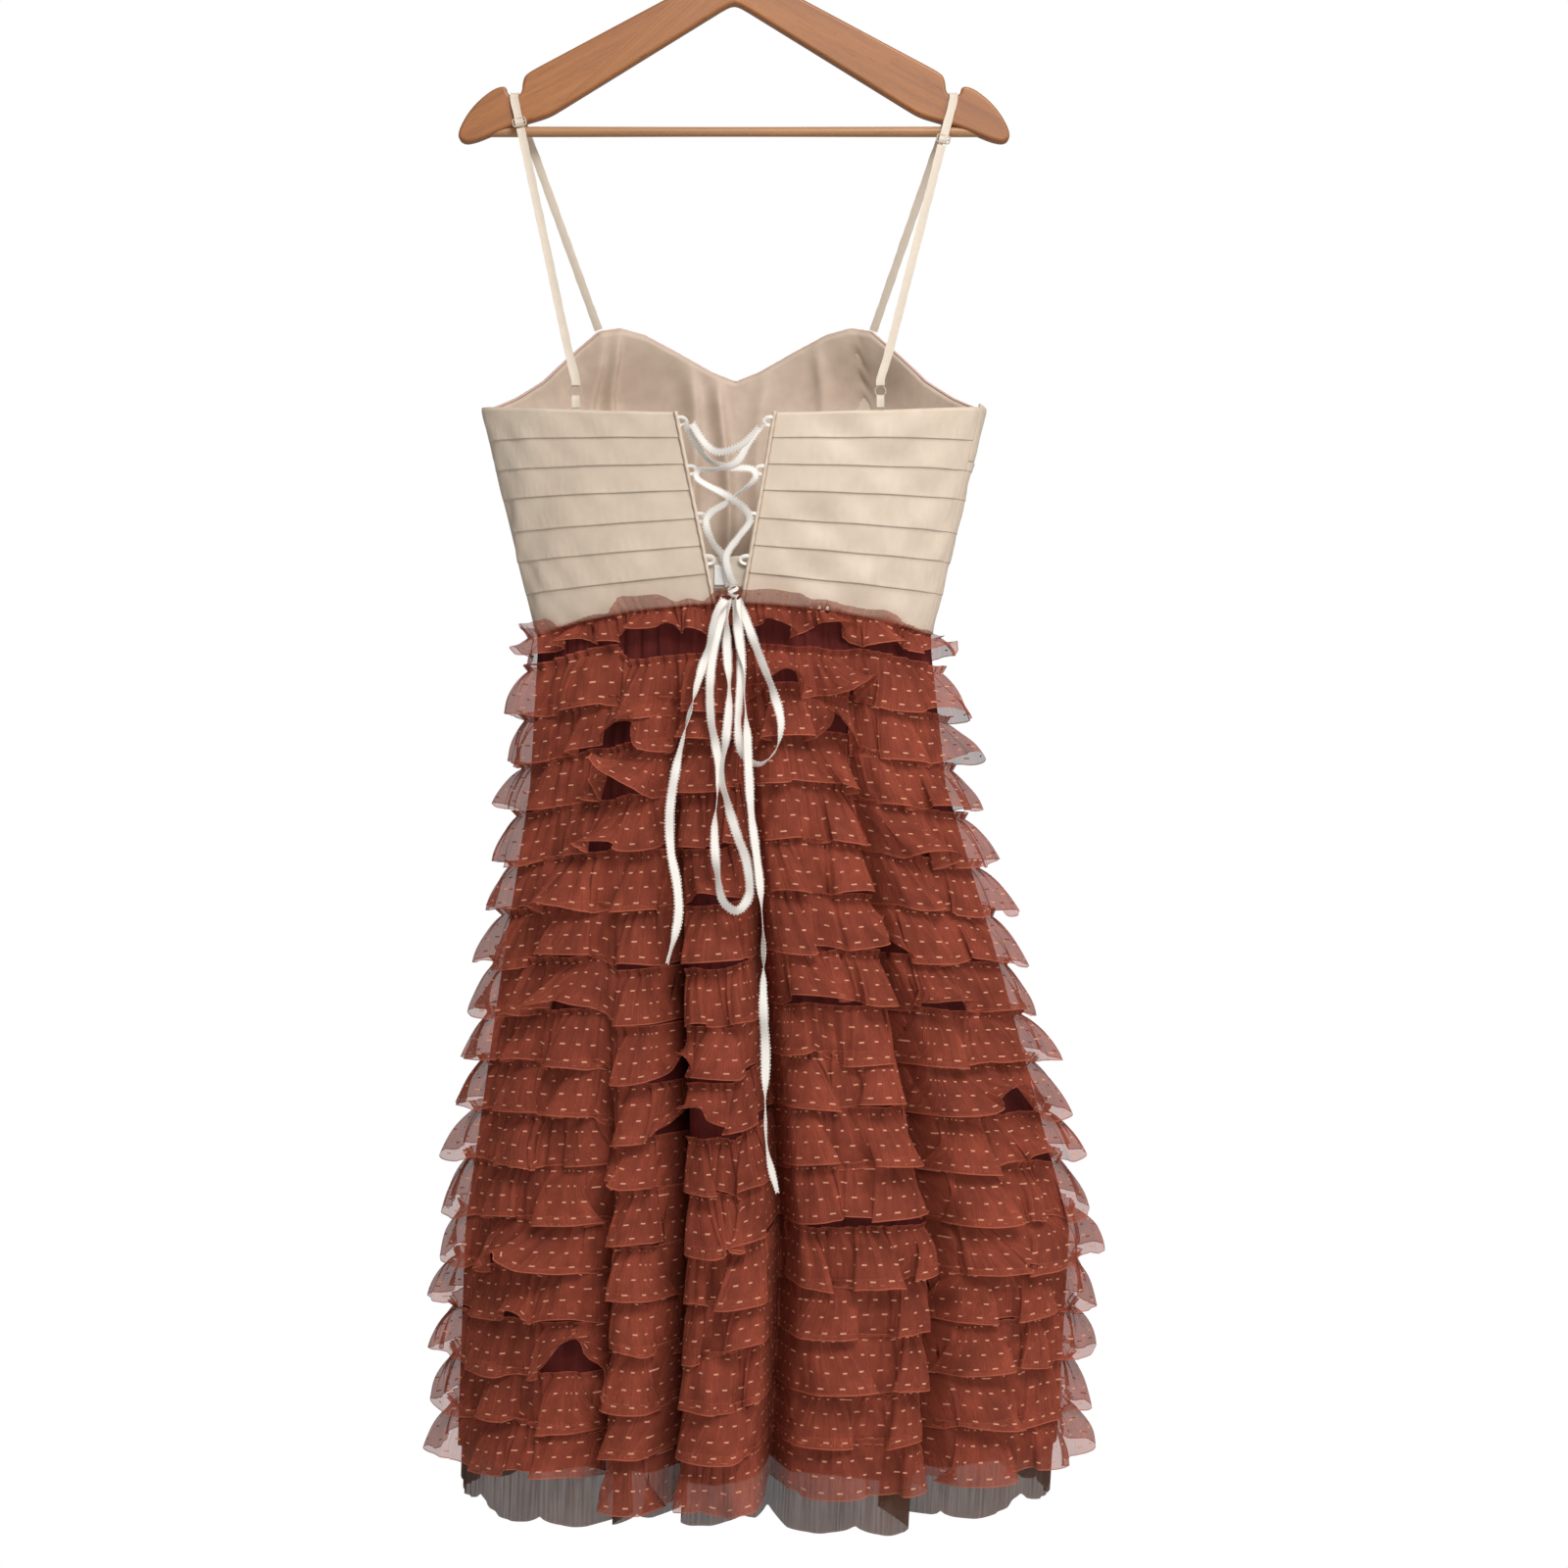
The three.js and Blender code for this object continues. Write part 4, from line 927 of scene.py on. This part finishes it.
# Folds of the lining: the turn, how wide in degrees and how far it stands off
LINING_FOLDS = (
    (207, 2.2, 5.5), (213, 2.6, 4.0), (190, 3.0, 4.4), (182, 2.4, 5.0), (172, 3.2, 3.0), (160, 2.5, 3.4),
)
RUCHED_TURN = 151


def lining_folds(turn, z):
    """Hanging folds across the middle of the back and the ruched seam under the right cup."""
    total = 0
    for number, (centre, wide, high) in enumerate(LINING_FOLDS):
        away = (turn - centre - 1.3 * np.sin(z / 37 + number * 2)) / wide
        total = total - high * np.exp(-(away**2)) * (1 + 0.9 * np.tanh(away * 2.4))
    ruched = np.exp(-(((turn - RUCHED_TURN) / 2.2) ** 2))
    return total + 1.3 * ruched * np.sin(z * 2 * math.pi / 6.5 + 1.5 * np.sin(turn * 1.3)) + 1.6 * ruched


front_lining = smooth_wall(
    "satin_front_lining", np.linspace(FRONT_FROM + 5, FRONT_TO - 5, 330), 50,
    lambda turn: neckline(turn) - 0.6, lambda turn: -600 + 0 * turn,
    -3.4, -4.4, lining, 80, 0.9, lining_folds,
)


def tube_piece(name, line, radius, finish, sides=16, closed=False):
    """A round bar along a line; its radius may change from point to point."""
    line = np.asarray(line, float)
    radius = np.broadcast_to(radius, len(line))
    along = unit(np.roll(line, -1, 0) - np.roll(line, 1, 0) if closed else np.gradient(line, axis=0))
    side = np.cross(along[0], (0.0, 1.0, 0.0) if abs(along[0][1]) < 0.9 else (1.0, 0.0, 0.0))
    rows = []
    for k, way in enumerate(along):
        side = side - (side @ way) * way
        side = side / np.linalg.norm(side)
        other = np.cross(way, side)
        around = np.linspace(0, 2 * math.pi, sides, endpoint=False)[:, None]
        rows.append(line[k] + radius[k] * (np.cos(around) * side + np.sin(around) * other))
    count = len(rows)
    steps = np.concatenate([[0], np.cumsum(np.linalg.norm(np.diff(line, axis=0), axis=1))])
    row, column = grid_squares(count + closed, sides, True)
    faces = ((row % count) * sides + column % sides).tolist()
    lengths = np.append(steps, steps[-1] + 1)[row] * 0.001
    round_it = column * 0.001 * 2 * math.pi * radius.max() / sides
    uvs = np.stack([lengths, round_it], -1).reshape(-1, 2).tolist()
    if not closed:
        add_caps(faces, uvs, count, sides, 1)
    piece = mesh_piece(name, rows, faces, uvs)
    set_outwards(piece)
    piece.data.materials.append(finish.material)
    return piece


# The sweetheart edge: cup and lining turned in together and pressed, so that a fine pinkish roll shows
edge_satin = satin_maker("turned satin edge", (0.72, 0.50, 0.42), (0.56, 0.36, 0.30), 0.42)
for hand, first, last in (("right", FRONT_FROM + 0.6, 180.4), ("left", 179.6, FRONT_TO - 0.6)):
    edge_turn = np.linspace(first, last, 120)
    edge_line = bodice_point(edge_turn, neckline(edge_turn) - 0.2, -1.6)
    edge = tube_piece("turned_edge_" + hand, edge_line, 1.25 + 0.1 * np.sin(edge_turn * 3), edge_satin, 10)
    join_on(edge)
for piece, node, material_slot, flat, area in (
    (midriff, "front_midriff", "satin", (0.50, 0.139), 0.0655),
    (cups["right"], "cup_right", "satin", (0.26, 0.12), 0.0235),
    (cups["left"], "cup_left", "satin", (0.25, 0.12), 0.0225),
    (front_lining, "front_lining", "lining", (0.48, 0.235), 0.088),
):
    join_on(piece, node)


# The rolled edges of the opening, with the ribbon loops caught in them.
# Each is a rolled satin cord edge; the lacing runs through four loops a side.
LOOP_HEIGHTS, LOOP_REACH, LOOP_HALF, LOOP_WIDE = (-453, -491, -528, -561), 5.5, 3.0, 2.6
ROLL_CENTRE, ROLL_HALF_WIDE, ROLL_HALF_THICK = 1.5, 1.55, 1.9


def rolled_edge(side):
    z = np.linspace(float(back_top(0)) + 0.6, float(waist_edge(0)) - 0.2, 90)[:, None]
    around = np.linspace(0, 2 * math.pi, 17)[:-1][None, :]
    bias = 0.12 * np.sin(z / 1.6 + around * 2)
    inwards = ROLL_CENTRE + ROLL_HALF_WIDE * np.sin(around) + bias
    out = 0.4 + (ROLL_HALF_THICK + bias) * -np.cos(around)
    points = bodice_point(opening_turn(side, z, inwards), z + 0 * around, out)
    uv = np.stack(np.broadcast_arrays(around * 0.0006, z * 0.001), -1)
    uv = np.concatenate([uv, uv[:, :1]], 1)
    rows, columns = points.shape[:2]
    row, column = grid_squares(rows, columns, True)
    faces = (row * columns + column % columns).tolist()
    uvs = uv[row, column].reshape(-1, 2).tolist()
    add_caps(faces, uvs, rows, columns, 1)
    piece = mesh_piece("rolled_edge_" + side, points, faces, uvs)
    set_outwards(piece)
    piece.data.materials.append(satin.material)
    return piece


for side in ("left", "right"):
    edge = rolled_edge(side)
    join_on(edge, "lacing_edge_" + side)
    into = 1 if side == "left" else -1
    for number, z in enumerate(LOOP_HEIGHTS):
        root = bodice_point(opening_turn(side, z, ROLL_CENTRE), z, 0.6)
        bend = [
            root + np.array([into * u * (LOOP_REACH + ROLL_CENTRE), -v * 1.2, v * LOOP_HALF])
            for u, v in ((0, 1), (0.5, 1), (0.88, 0.6), (1, 0), (0.88, -0.6), (0.5, -1), (0, -1))
        ]
        name = f"lacing_loop_{side}_{number + 1}"
        tab = ribbon_piece(name, bend, (0, -1, 0.2), width=LOOP_WIDE, twisting=0.3)[0]
        join_on(tab)


# The lacing, its knot, the waist stay and the blank label.
# The same picot ribbon runs through the loops in zigzags and is tied at the foot of the opening. Behind
# it a woven cotton stay closes the waist, and a small white woven label, left blank, is sewn on the stay.
LACING_WIDTH = 4.2
LACING_ROUTES = {
    "lacing_top": (5.7, ((-31, -456), (-22, -470), (-14, -477), (-4, -477), (8, -471), (19.5, -459))),
    "lacing_left": (1.7, ((-37, -455), (-28, -472), (-18, -484), (-4, -489), (15, -491), (18, -496),
                          (-1, -514), (-19, -526), (-21, -532), (-15, -549), (-8, -558),
                          (-5, -572), (-3, -581))),
    "lacing_right": (3.7, ((25, -455), (13, -469), (3, -485), (-12, -491), (-27, -492), (-28, -497),
                           (-2, -513), (11, -524), (13, -531), (4, -544), (-5, -558),
                           (-3, -572), (0.5, -580.5))),
}


def at_back(x, z, out=0.0):
    """A point of the back panels by its x and height, or out millimetres outside it."""
    return bodice_point(np.degrees(np.arcsin(x / np.interp(z, BODICE_Z, BODICE_WIDE))), z, out)


for number, (name, (proud, points)) in enumerate(LACING_ROUTES.items()):
    x, z = np.array(points, float).T
    piece, line, even, side, face = ribbon_piece(
        "laced_" + name, at_back(x, z, proud), width=LACING_WIDTH, twisting=0.8
    )
    add_picots(piece, line, side, LACING_WIDTH, 20 + number)
    join_on(piece, name)

# The knot: two turns of the ribbon drawn tight round its own ends
KNOT_CENTRE = np.array((0.0, -50.5, -587.0))
knot_turns = np.radians(np.linspace(-100, 560, 34))
knot_route = KNOT_CENTRE + np.stack([
    (3.4 - 0.5 * np.cos(knot_turns * 2)) * np.sin(knot_turns), -2.7 * np.cos(knot_turns),
    3.4 * np.sin(knot_turns * 0.5 + 0.6) - 1.2 * np.cos(knot_turns),
], 1)
knot = ribbon_piece("tied_knot", knot_route, lambda line: line - KNOT_CENTRE, width=2.8, twisting=0.5)[0]
join_on(knot, "bow_knot")


def woven_maker(name, light, dark, threads, rough):
    """Plain woven cotton or acetate whose threads show close to."""
    maker = Maker(name)
    height, shade = maker.weave(threads, 0.9)
    maker.feed(Base_Color=maker.mix(shade, dark, light), Roughness=rough, Sheen_Weight=0.15)
    maker.bump(height, 0.00015, 0.7)
    return maker


stay_tape = woven_maker("cotton stay tape", (0.80, 0.72, 0.61), (0.62, 0.53, 0.43), 800, 0.8)
label_weave = woven_maker("white label", (1.0, 1.0, 0.99), (0.90, 0.89, 0.87), 1400, 0.6)
STAY_TOP, STAY_BOTTOM, STAY_FROM, STAY_TO = -558, -583, -23.33, 16.67
stay_turn = np.linspace(STAY_FROM, STAY_TO, 60)[None, :]
stay_z = np.linspace(STAY_TOP, STAY_BOTTOM, 14)[:, None] + 0.5 * np.sin(stay_turn / 3.1)
stay_uv = np.stack([stay_turn * 0.0029 + 0 * stay_z, stay_z * 0.001], -1)
stay_edge = 0.35 * np.exp(-((stay_z - STAY_TOP + 1.5) ** 2) / 1.2)
stay_wave = -3.0 + 0.35 * np.sin(stay_turn / 2.7 + stay_z / 9) + stay_edge
stay_faces = [bodice_point(stay_turn, stay_z, stay_wave - inwards) for inwards in (0, 0.7)]
waist_stay = wall_piece("cotton_waist_stay", *stay_faces, stay_uv, stay_tape)
LABEL_X, LABEL_Z = (-15, -5), (-565, -581)
label_x = np.linspace(*LABEL_X, 12)[None, :] + np.zeros((14, 1))
label_z = np.linspace(*LABEL_Z, 14)[:, None] + 0 * label_x
label_curl = -1.9 + 0.5 * ((label_x + 10) / 5) ** 2 * np.linspace(0.2, 1, 14)[:, None]
label_uv = np.stack([label_x, label_z], -1) * 0.001
label_faces = [at_back(label_x, label_z, label_curl - inwards) for inwards in (0, 0.35)]
woven_label = wall_piece("blank_label", *label_faces, label_uv, label_weave)
for piece, node, flat in (
    (waist_stay, "waist_stay", (0.111, 0.025)), (woven_label, "label", (0.0102, 0.016)),
):
    join_on(piece, node)


# The shoulder straps, with their sliders and rings.
# Each strap is a turned tube of the champagne satin, pressed flat. It is sewn to the cup, lies over the
# hanger's notch, passes a slider and comes back from a small ring, which a satin tab holds to the back.
STRAP_WIDE, STRAP_THICK, STRAP_AWAY, NOTCH_X, OVER_NOTCH = 6.6, 1.5, 7.4, 175.5, -184.6
RING_RADIUS, RING_WIRE, RING_Z = 4.2, 0.55, -428.2
SLIDER_HALF_WIDE, SLIDER_HALF_TALL, SLIDER_WIRE, BAR_REACH, TAB_WIDE = 5.2, 3.2, 0.6, 5.0, 5.8
SHOULDERS = (("left", -1, 112, 125, -209), ("right", 1, 113, 117, -223))


def drawn_maker(name, light, dark, rough, stretch, metallic):
    """A drawn wire, bare or coated: fine marks that run along it."""
    maker = Maker(name)
    marks = maker.noise(1.0, 3, stretch)
    maker.feed(
        Base_Color=maker.mix(marks, dark, light), Roughness=maker.sums("MULTIPLY_ADD", marks, 0.2, rough),
        Metallic=metallic,
    )
    maker.bump(marks, 0.00004, 0.4)
    return maker


coated_wire = drawn_maker("nylon coated wire", (0.60, 0.51, 0.42), (0.48, 0.40, 0.33), 0.35, (300, 900), 0)
strap_satin = satin_maker("strap satin", (0.80, 0.70, 0.585), (0.66, 0.56, 0.46), 0.4)


def strap_piece(kind, hand, route, spacing=1.5, width=STRAP_WIDE):
    """A run of strap, its width across x, slightly puckered along both edges."""
    line, even = smooth_route(route, spacing)
    along = unit(np.gradient(line, axis=0))
    side = unit(np.array((1.0, 0.0, 0.0)) - along[:, :1] * along)
    face = np.cross(side, along)
    narrow = width * (1 + 0.03 * np.sin(even / 5.3) + 0.03 * np.sin(even / 2.3 + 1))[:, None]
    piece = band_piece(
        f"satin_{kind}_{hand}", line, even, side * narrow / width, face, width, STRAP_THICK * 0.8,
        strap_satin, 0.5,
    )
    join_on(piece, f"{kind}_{hand}")


for hand, sign, front_x, ring_x, slider_z in SHOULDERS:
    front_turn = 180 - sign * math.degrees(math.asin(front_x / BODICE_WIDE[-1]))
    sewn_front = bodice_point(front_turn, neckline(front_turn), -SATIN / 2) + (0, 0, 2)
    ring_turn = sign * math.degrees(math.asin(ring_x / BODICE_WIDE[-2]))
    ring_at = bodice_point(ring_turn, back_top(ring_turn), -SATIN / 2)
    ring_at[2] = RING_Z
    ring_end = ring_at + (0, 0, RING_RADIUS + 0.6)
    x = sign * NOTCH_X
    at_notch = np.array((x, -STRAP_AWAY, OVER_NOTCH - 5))

    def on_back(z, out=0.0):
        share = (at_notch[2] - z) / (at_notch[2] - ring_end[2])
        return at_notch + (ring_end - at_notch) * share + (0, -out, 0)

    behind = np.array((x, STRAP_AWAY, OVER_NOTCH - 5))
    front_run = [
        sewn_front, sewn_front * 0.75 + behind * 0.25,
        (sewn_front + behind) / 2, sewn_front * 0.25 + behind * 0.75,
        behind, (x, STRAP_AWAY - 0.3, OVER_NOTCH - 1.6), (x, STRAP_AWAY - 2.2, OVER_NOTCH + 0.1),
        (x, 0, OVER_NOTCH + 0.2), (x, 2.2 - STRAP_AWAY, OVER_NOTCH + 0.1),
        (x, 0.3 - STRAP_AWAY, OVER_NOTCH - 1.6),
        at_notch, on_back(slider_z + 8), on_back(slider_z + 3.4), on_back(slider_z + 2.2, 1.6),
        on_back(slider_z, 2.3), on_back(slider_z - 2.2, 1.6), on_back(slider_z - 3.6, 0.2),
    ]
    strap_piece("strap_front", hand, front_run)
    back_run = [
        on_back(slider_z - 4.6, -0.4), on_back(slider_z - 30), on_back(slider_z * 0.5 + ring_end[2] * 0.5),
        on_back(ring_end[2] + 25), ring_end + (0, -0.6, 3),
        ring_end + (0, -0.9, -0.2), ring_end + (0, 0.9, -0.3),
        ring_end + (0, 1.6, 4), on_back(ring_end[2] + 22, -2.0),
    ]
    strap_piece("strap_back", hand, back_run)
    tab_top = ring_at - (0, 0, RING_RADIUS - 0.3)
    tab_route = [
        tab_top + (0, 1.2, -9), tab_top + (0, 1.2, -2), tab_top + (0, 0, 0.6), tab_top + (0, -1.2, -2),
        tab_top + (0, -1.8, -9),
    ]
    strap_piece("ring_tab", hand, tab_route, 0.8, TAB_WIDE)
    turns = np.linspace(0, 2 * math.pi, 48, endpoint=False)
    circle = np.stack([np.sin(turns) * RING_RADIUS, 0 * turns, np.cos(turns) * RING_RADIUS], 1)
    ring = tube_piece("wire_ring_" + hand, ring_at + circle, RING_WIRE, coated_wire, 12, True)
    join_on(ring, "ring_" + hand)
    # The slider: a rounded frame and a middle bar that the strap lies over
    seat = on_back(slider_z, 0.9)
    up = (at_notch - ring_end) / np.linalg.norm(at_notch - ring_end)
    right = np.cross(up, (0, -1.0, 0))
    right /= np.linalg.norm(right)
    # Its two half sizes, with rounded corners
    sideways, upwards = (np.sign(wave) * np.abs(wave) ** 0.4 for wave in (np.cos(turns), np.sin(turns)))
    rim = seat + (sideways * SLIDER_HALF_WIDE)[:, None] * right + (upwards * SLIDER_HALF_TALL)[:, None] * up
    slider = tube_piece("slider_frame_" + hand, rim, SLIDER_WIRE, coated_wire, 12, True)
    bar_line = [seat - right * BAR_REACH, seat, seat + right * BAR_REACH]
    bar = tube_piece("slider_bar_" + hand, bar_line, SLIDER_WIRE, coated_wire, 12)
    join_on(slider, "slider_" + hand)
    join_on(bar)
    thread_loops(
        "strap_stitches_" + hand,
        [np.array([front_run[0] + (-2.6, 1.3, 4), front_run[0] + (2.6, 1.3, 4)])],
        [np.array([(0.0, 1.0, 0.0)] * 2)], 1.3, 0.9, 0.3, 0.14, strap_satin, 61 + sign,
    )


# The wooden hanger with its steel hook.
# Two sloping arms are cut from one 12 mm board, edges rounded over and oiled; a turned dowel of paler wood
# joins their tips, and a bent steel wire hook, cut off by the photograph, is screwed into the top.
HALF_OUTLINE = (
    (0, -80), (22, -86), (46, -104), (164, -167), (169, -172), (170, -186), (181, -186), (182, -178),
    (192, -180), (206, -191), (216, -204), (222, -218), (217, -224), (206, -222), (184, -212.5), (148, -202),
    (0, -110.7),
)
HANGER_THICK, ROUND_OVER = 12, 2.6
CROSSBAR_Z, CROSSBAR_HALF, CROSSBAR_RADIUS = -214, 197, 4
HOOK_WIRE, HOOK_INSIDE, HOOK_TIP, HOOK_FOOT = 1.8, 20, 205, -40


def wood_maker(name, light, dark, line, gloss):
    """Oiled wood: long grain lines along the piece, with slow bands and fine pores."""
    maker = Maker(name)
    stretches = (((9, 190), 5), ((3, 34), 2), ((55, 1500), 2))
    grain, slow, fine = (maker.noise(1.0, detail, stretch, 0.35) for stretch, detail in stretches)
    pores = maker.sums("GREATER_THAN", fine, 0.63)
    colour = maker.mix(maker.swing(slow, 1.6, grain), dark, light)
    maker.feed(
        Base_Color=maker.mix(maker.sums("MULTIPLY", pores, 0.35), colour, line),
        Roughness=maker.sums("MULTIPLY_ADD", grain, 0.25, gloss), Coat_Weight=0.15, Coat_Roughness=0.3,
    )
    maker.bump(maker.sums("MULTIPLY_ADD", pores, -0.5, grain), 0.00015, 0.4)
    return maker


arm_wood = wood_maker(
    "oiled hanger wood", (0.47, 0.19, 0.062), (0.28, 0.10, 0.034), (0.13, 0.042, 0.018), 0.32
)
bar_wood = wood_maker("pale dowel wood", (0.58, 0.31, 0.15), (0.40, 0.20, 0.09), (0.24, 0.11, 0.05), 0.35)


def hanger_outline():
    """The outline of the arms, closed, with its corners cut twice so that they run round."""
    half = np.array(HALF_OUTLINE, float)
    closed = np.concatenate([half, (half[1:-1] * (-1, 1))[::-1]])
    for _ in range(3):
        after = np.roll(closed, -1, 0)
        long = np.linalg.norm(after - closed, axis=1)[:, None]
        cut = np.minimum(0.25, 4.0 / np.maximum(long, 1e-6))
        corners = [closed + (after - closed) * cut, after - (after - closed) * cut]
        closed = np.stack(corners, 1).reshape(-1, 2)
    return closed


def hanger_arms():
    outline = hanger_outline()
    tangent = unit(np.roll(outline, -1, 0) - np.roll(outline, 1, 0))
    inwards = np.stack([tangent[:, 1], -tangent[:, 0]], 1)
    area = np.sum(outline[:, 0] * np.roll(outline[:, 1], -1) - np.roll(outline[:, 0], -1) * outline[:, 1])
    inwards = inwards if area < 0 else -inwards
    rings = []
    for angle in np.radians(np.linspace(-90, 0, 6)):
        inset = ROUND_OVER * (1 - math.cos(angle))
        rings.append((inset, -HANGER_THICK / 2 + ROUND_OVER * (1 + math.sin(angle))))
    rings += [(inset, -y) for inset, y in rings[::-1]]
    work = bmesh.new()
    rows = []
    for inset, y in rings:
        shape = outline + inwards * inset
        rows.append([work.verts.new((x * 0.001, y * 0.001, z * 0.001)) for x, z in shape])
    for near, far in zip(rows, rows[1:]):
        for k in range(len(near)):
            after = (k + 1) % len(near)
            work.faces.new((near[k], near[after], far[after], far[k]))
    work.faces.new(rows[0])
    work.faces.new(rows[-1][::-1])
    bmesh.ops.recalc_face_normals(work, faces=work.faces)
    mesh = bpy.data.meshes.new("sloping_arms")
    work.to_mesh(mesh)
    work.free()
    return mesh


def bored(mesh, cutters):
    """The mesh with these solids cut out of it."""
    body = bpy.data.objects.new("bored", mesh)
    scene.collection.objects.link(body)
    for cutter in cutters:
        cut = body.modifiers.new("bore", "BOOLEAN")
        cut.operation = "DIFFERENCE"
        cut.solver = "EXACT"
        cut.object = cutter
    made = bpy.data.meshes.new_from_object(body.evaluated_get(bpy.context.evaluated_depsgraph_get()))
    for used in (body, *cutters):
        bpy.data.objects.remove(used)
    return made


reach = CROSSBAR_HALF + 0.4
bar_axis = [(-reach, 0, CROSSBAR_Z), (reach, 0, CROSSBAR_Z)]
bar_bore = tube_piece("bar bore", bar_axis, CROSSBAR_RADIUS + 0.4, arm_wood, 24)
hook_bore = tube_piece("hook bore", [(0, 0, -94.4), (0, 0, -60)], HOOK_WIRE + 0.35, arm_wood, 24)
arms_mesh = bored(hanger_arms(), [bar_bore, hook_bore])
arms_mesh.name = "sloping_arms"
arms_mesh.materials.clear()
arms_mesh.materials.append(arm_wood.material)
arms_mesh.uv_layers.new(name="cut")
slope = math.radians(28)
spots = np.zeros(len(arms_mesh.vertices) * 3)
arms_mesh.vertices.foreach_get("co", spots)
spots = spots.reshape(-1, 3)
corner_at = np.zeros(len(arms_mesh.loops), int)
arms_mesh.loops.foreach_get("vertex_index", corner_at)
across, deep, high = spots[corner_at].T
along_arm = np.abs(across) * math.cos(slope) - high * math.sin(slope)
over_arm = np.abs(across) * math.sin(slope) + high * math.cos(slope) + deep * 0.8
over_arm = over_arm + np.where(across < 0, 0.7, 0)
arm_uv = np.stack([along_arm, over_arm], 1).astype(np.float32)
arms_mesh.uv_layers["cut"].data.foreach_set("uv", arm_uv.ravel())
arms_mesh.shade_smooth()
arms = bpy.data.objects.new("sloping_arms", arms_mesh)
scene.collection.objects.link(arms)
sharp = arms.modifiers.new("flat faces", "WEIGHTED_NORMAL")
sharp.keep_sharp = True

bar_x = np.linspace(-CROSSBAR_HALF, CROSSBAR_HALF, 60)
bar_line = np.stack([bar_x, 0 * bar_x, CROSSBAR_Z + 0 * bar_x], 1)
dowel = tube_piece("turned_dowel", bar_line, CROSSBAR_RADIUS - 0.15 * np.cos(bar_x / 60), bar_wood, 28)

hook_radius = HOOK_INSIDE + HOOK_WIRE
hook_turns = np.radians(np.arange(HOOK_TIP, HOOK_FOOT - 1, -17.5))
hook_route = [(hook_radius * math.cos(a), 0, hook_radius * math.sin(a) - HOOK_INSIDE) for a in hook_turns]
hook_route += [(9, 0, -46), (2, 0, -56), (0, 0, -66), (0, 0, -80), (0, 0, -94)]
hook_line = smooth_route(hook_route, 1.5)[0]
tip = np.clip(np.arange(len(hook_line)) / 2.0, 0, 1)
steel = drawn_maker("plated steel", (0.80, 0.79, 0.77), (0.62, 0.61, 0.60), 0.14, (60, 1800), 1)
hook = tube_piece("steel_hook", hook_line, HOOK_WIRE * np.sqrt(0.08 + 0.92 * tip), steel, 20)
for piece, node, material_slot in (
    (arms, "hanger_arms", "wood"), (dowel, "hanger_crossbar", "wood"), (hook, "hanger_hook", "hook_steel"),
):
    join_on(piece, node)


# The waist frill.
# A narrower strip of the same rust tulle, gathered into the waist seam over everything else. Half of it
# stands up over the satin in loose petals, and the other half falls on the first ruffle.
FRILL_PETALS = (
    (-84, 9, 60, 10, -8), (-52, 12, 20, 0, 0), (-30, 8, 40, 0, 0), (-18, 6, 70, 8, 6), (10, 10, 85, 20, 0),
    (29, 7, 60, 0, 0), (48, 12, 30, 20, 8), (76, 12, 60, 40, 8), (120, 16, 30, 0, 0), (-140, 14, 50, 0, 0),
)
FRILL_HEADER, FRILL_FALL = 14.0, 17.0
waist_frill, frill_length = ruffle_piece(
    "tulle_waist_frill", lambda turn: waist_edge(turn) - 3 - FRILL_FALL, tulle_maker, 31, 903, FRILL_PETALS,
    header=FRILL_HEADER, fall=FRILL_FALL,
)
join_on(waist_frill, "waist_frill")
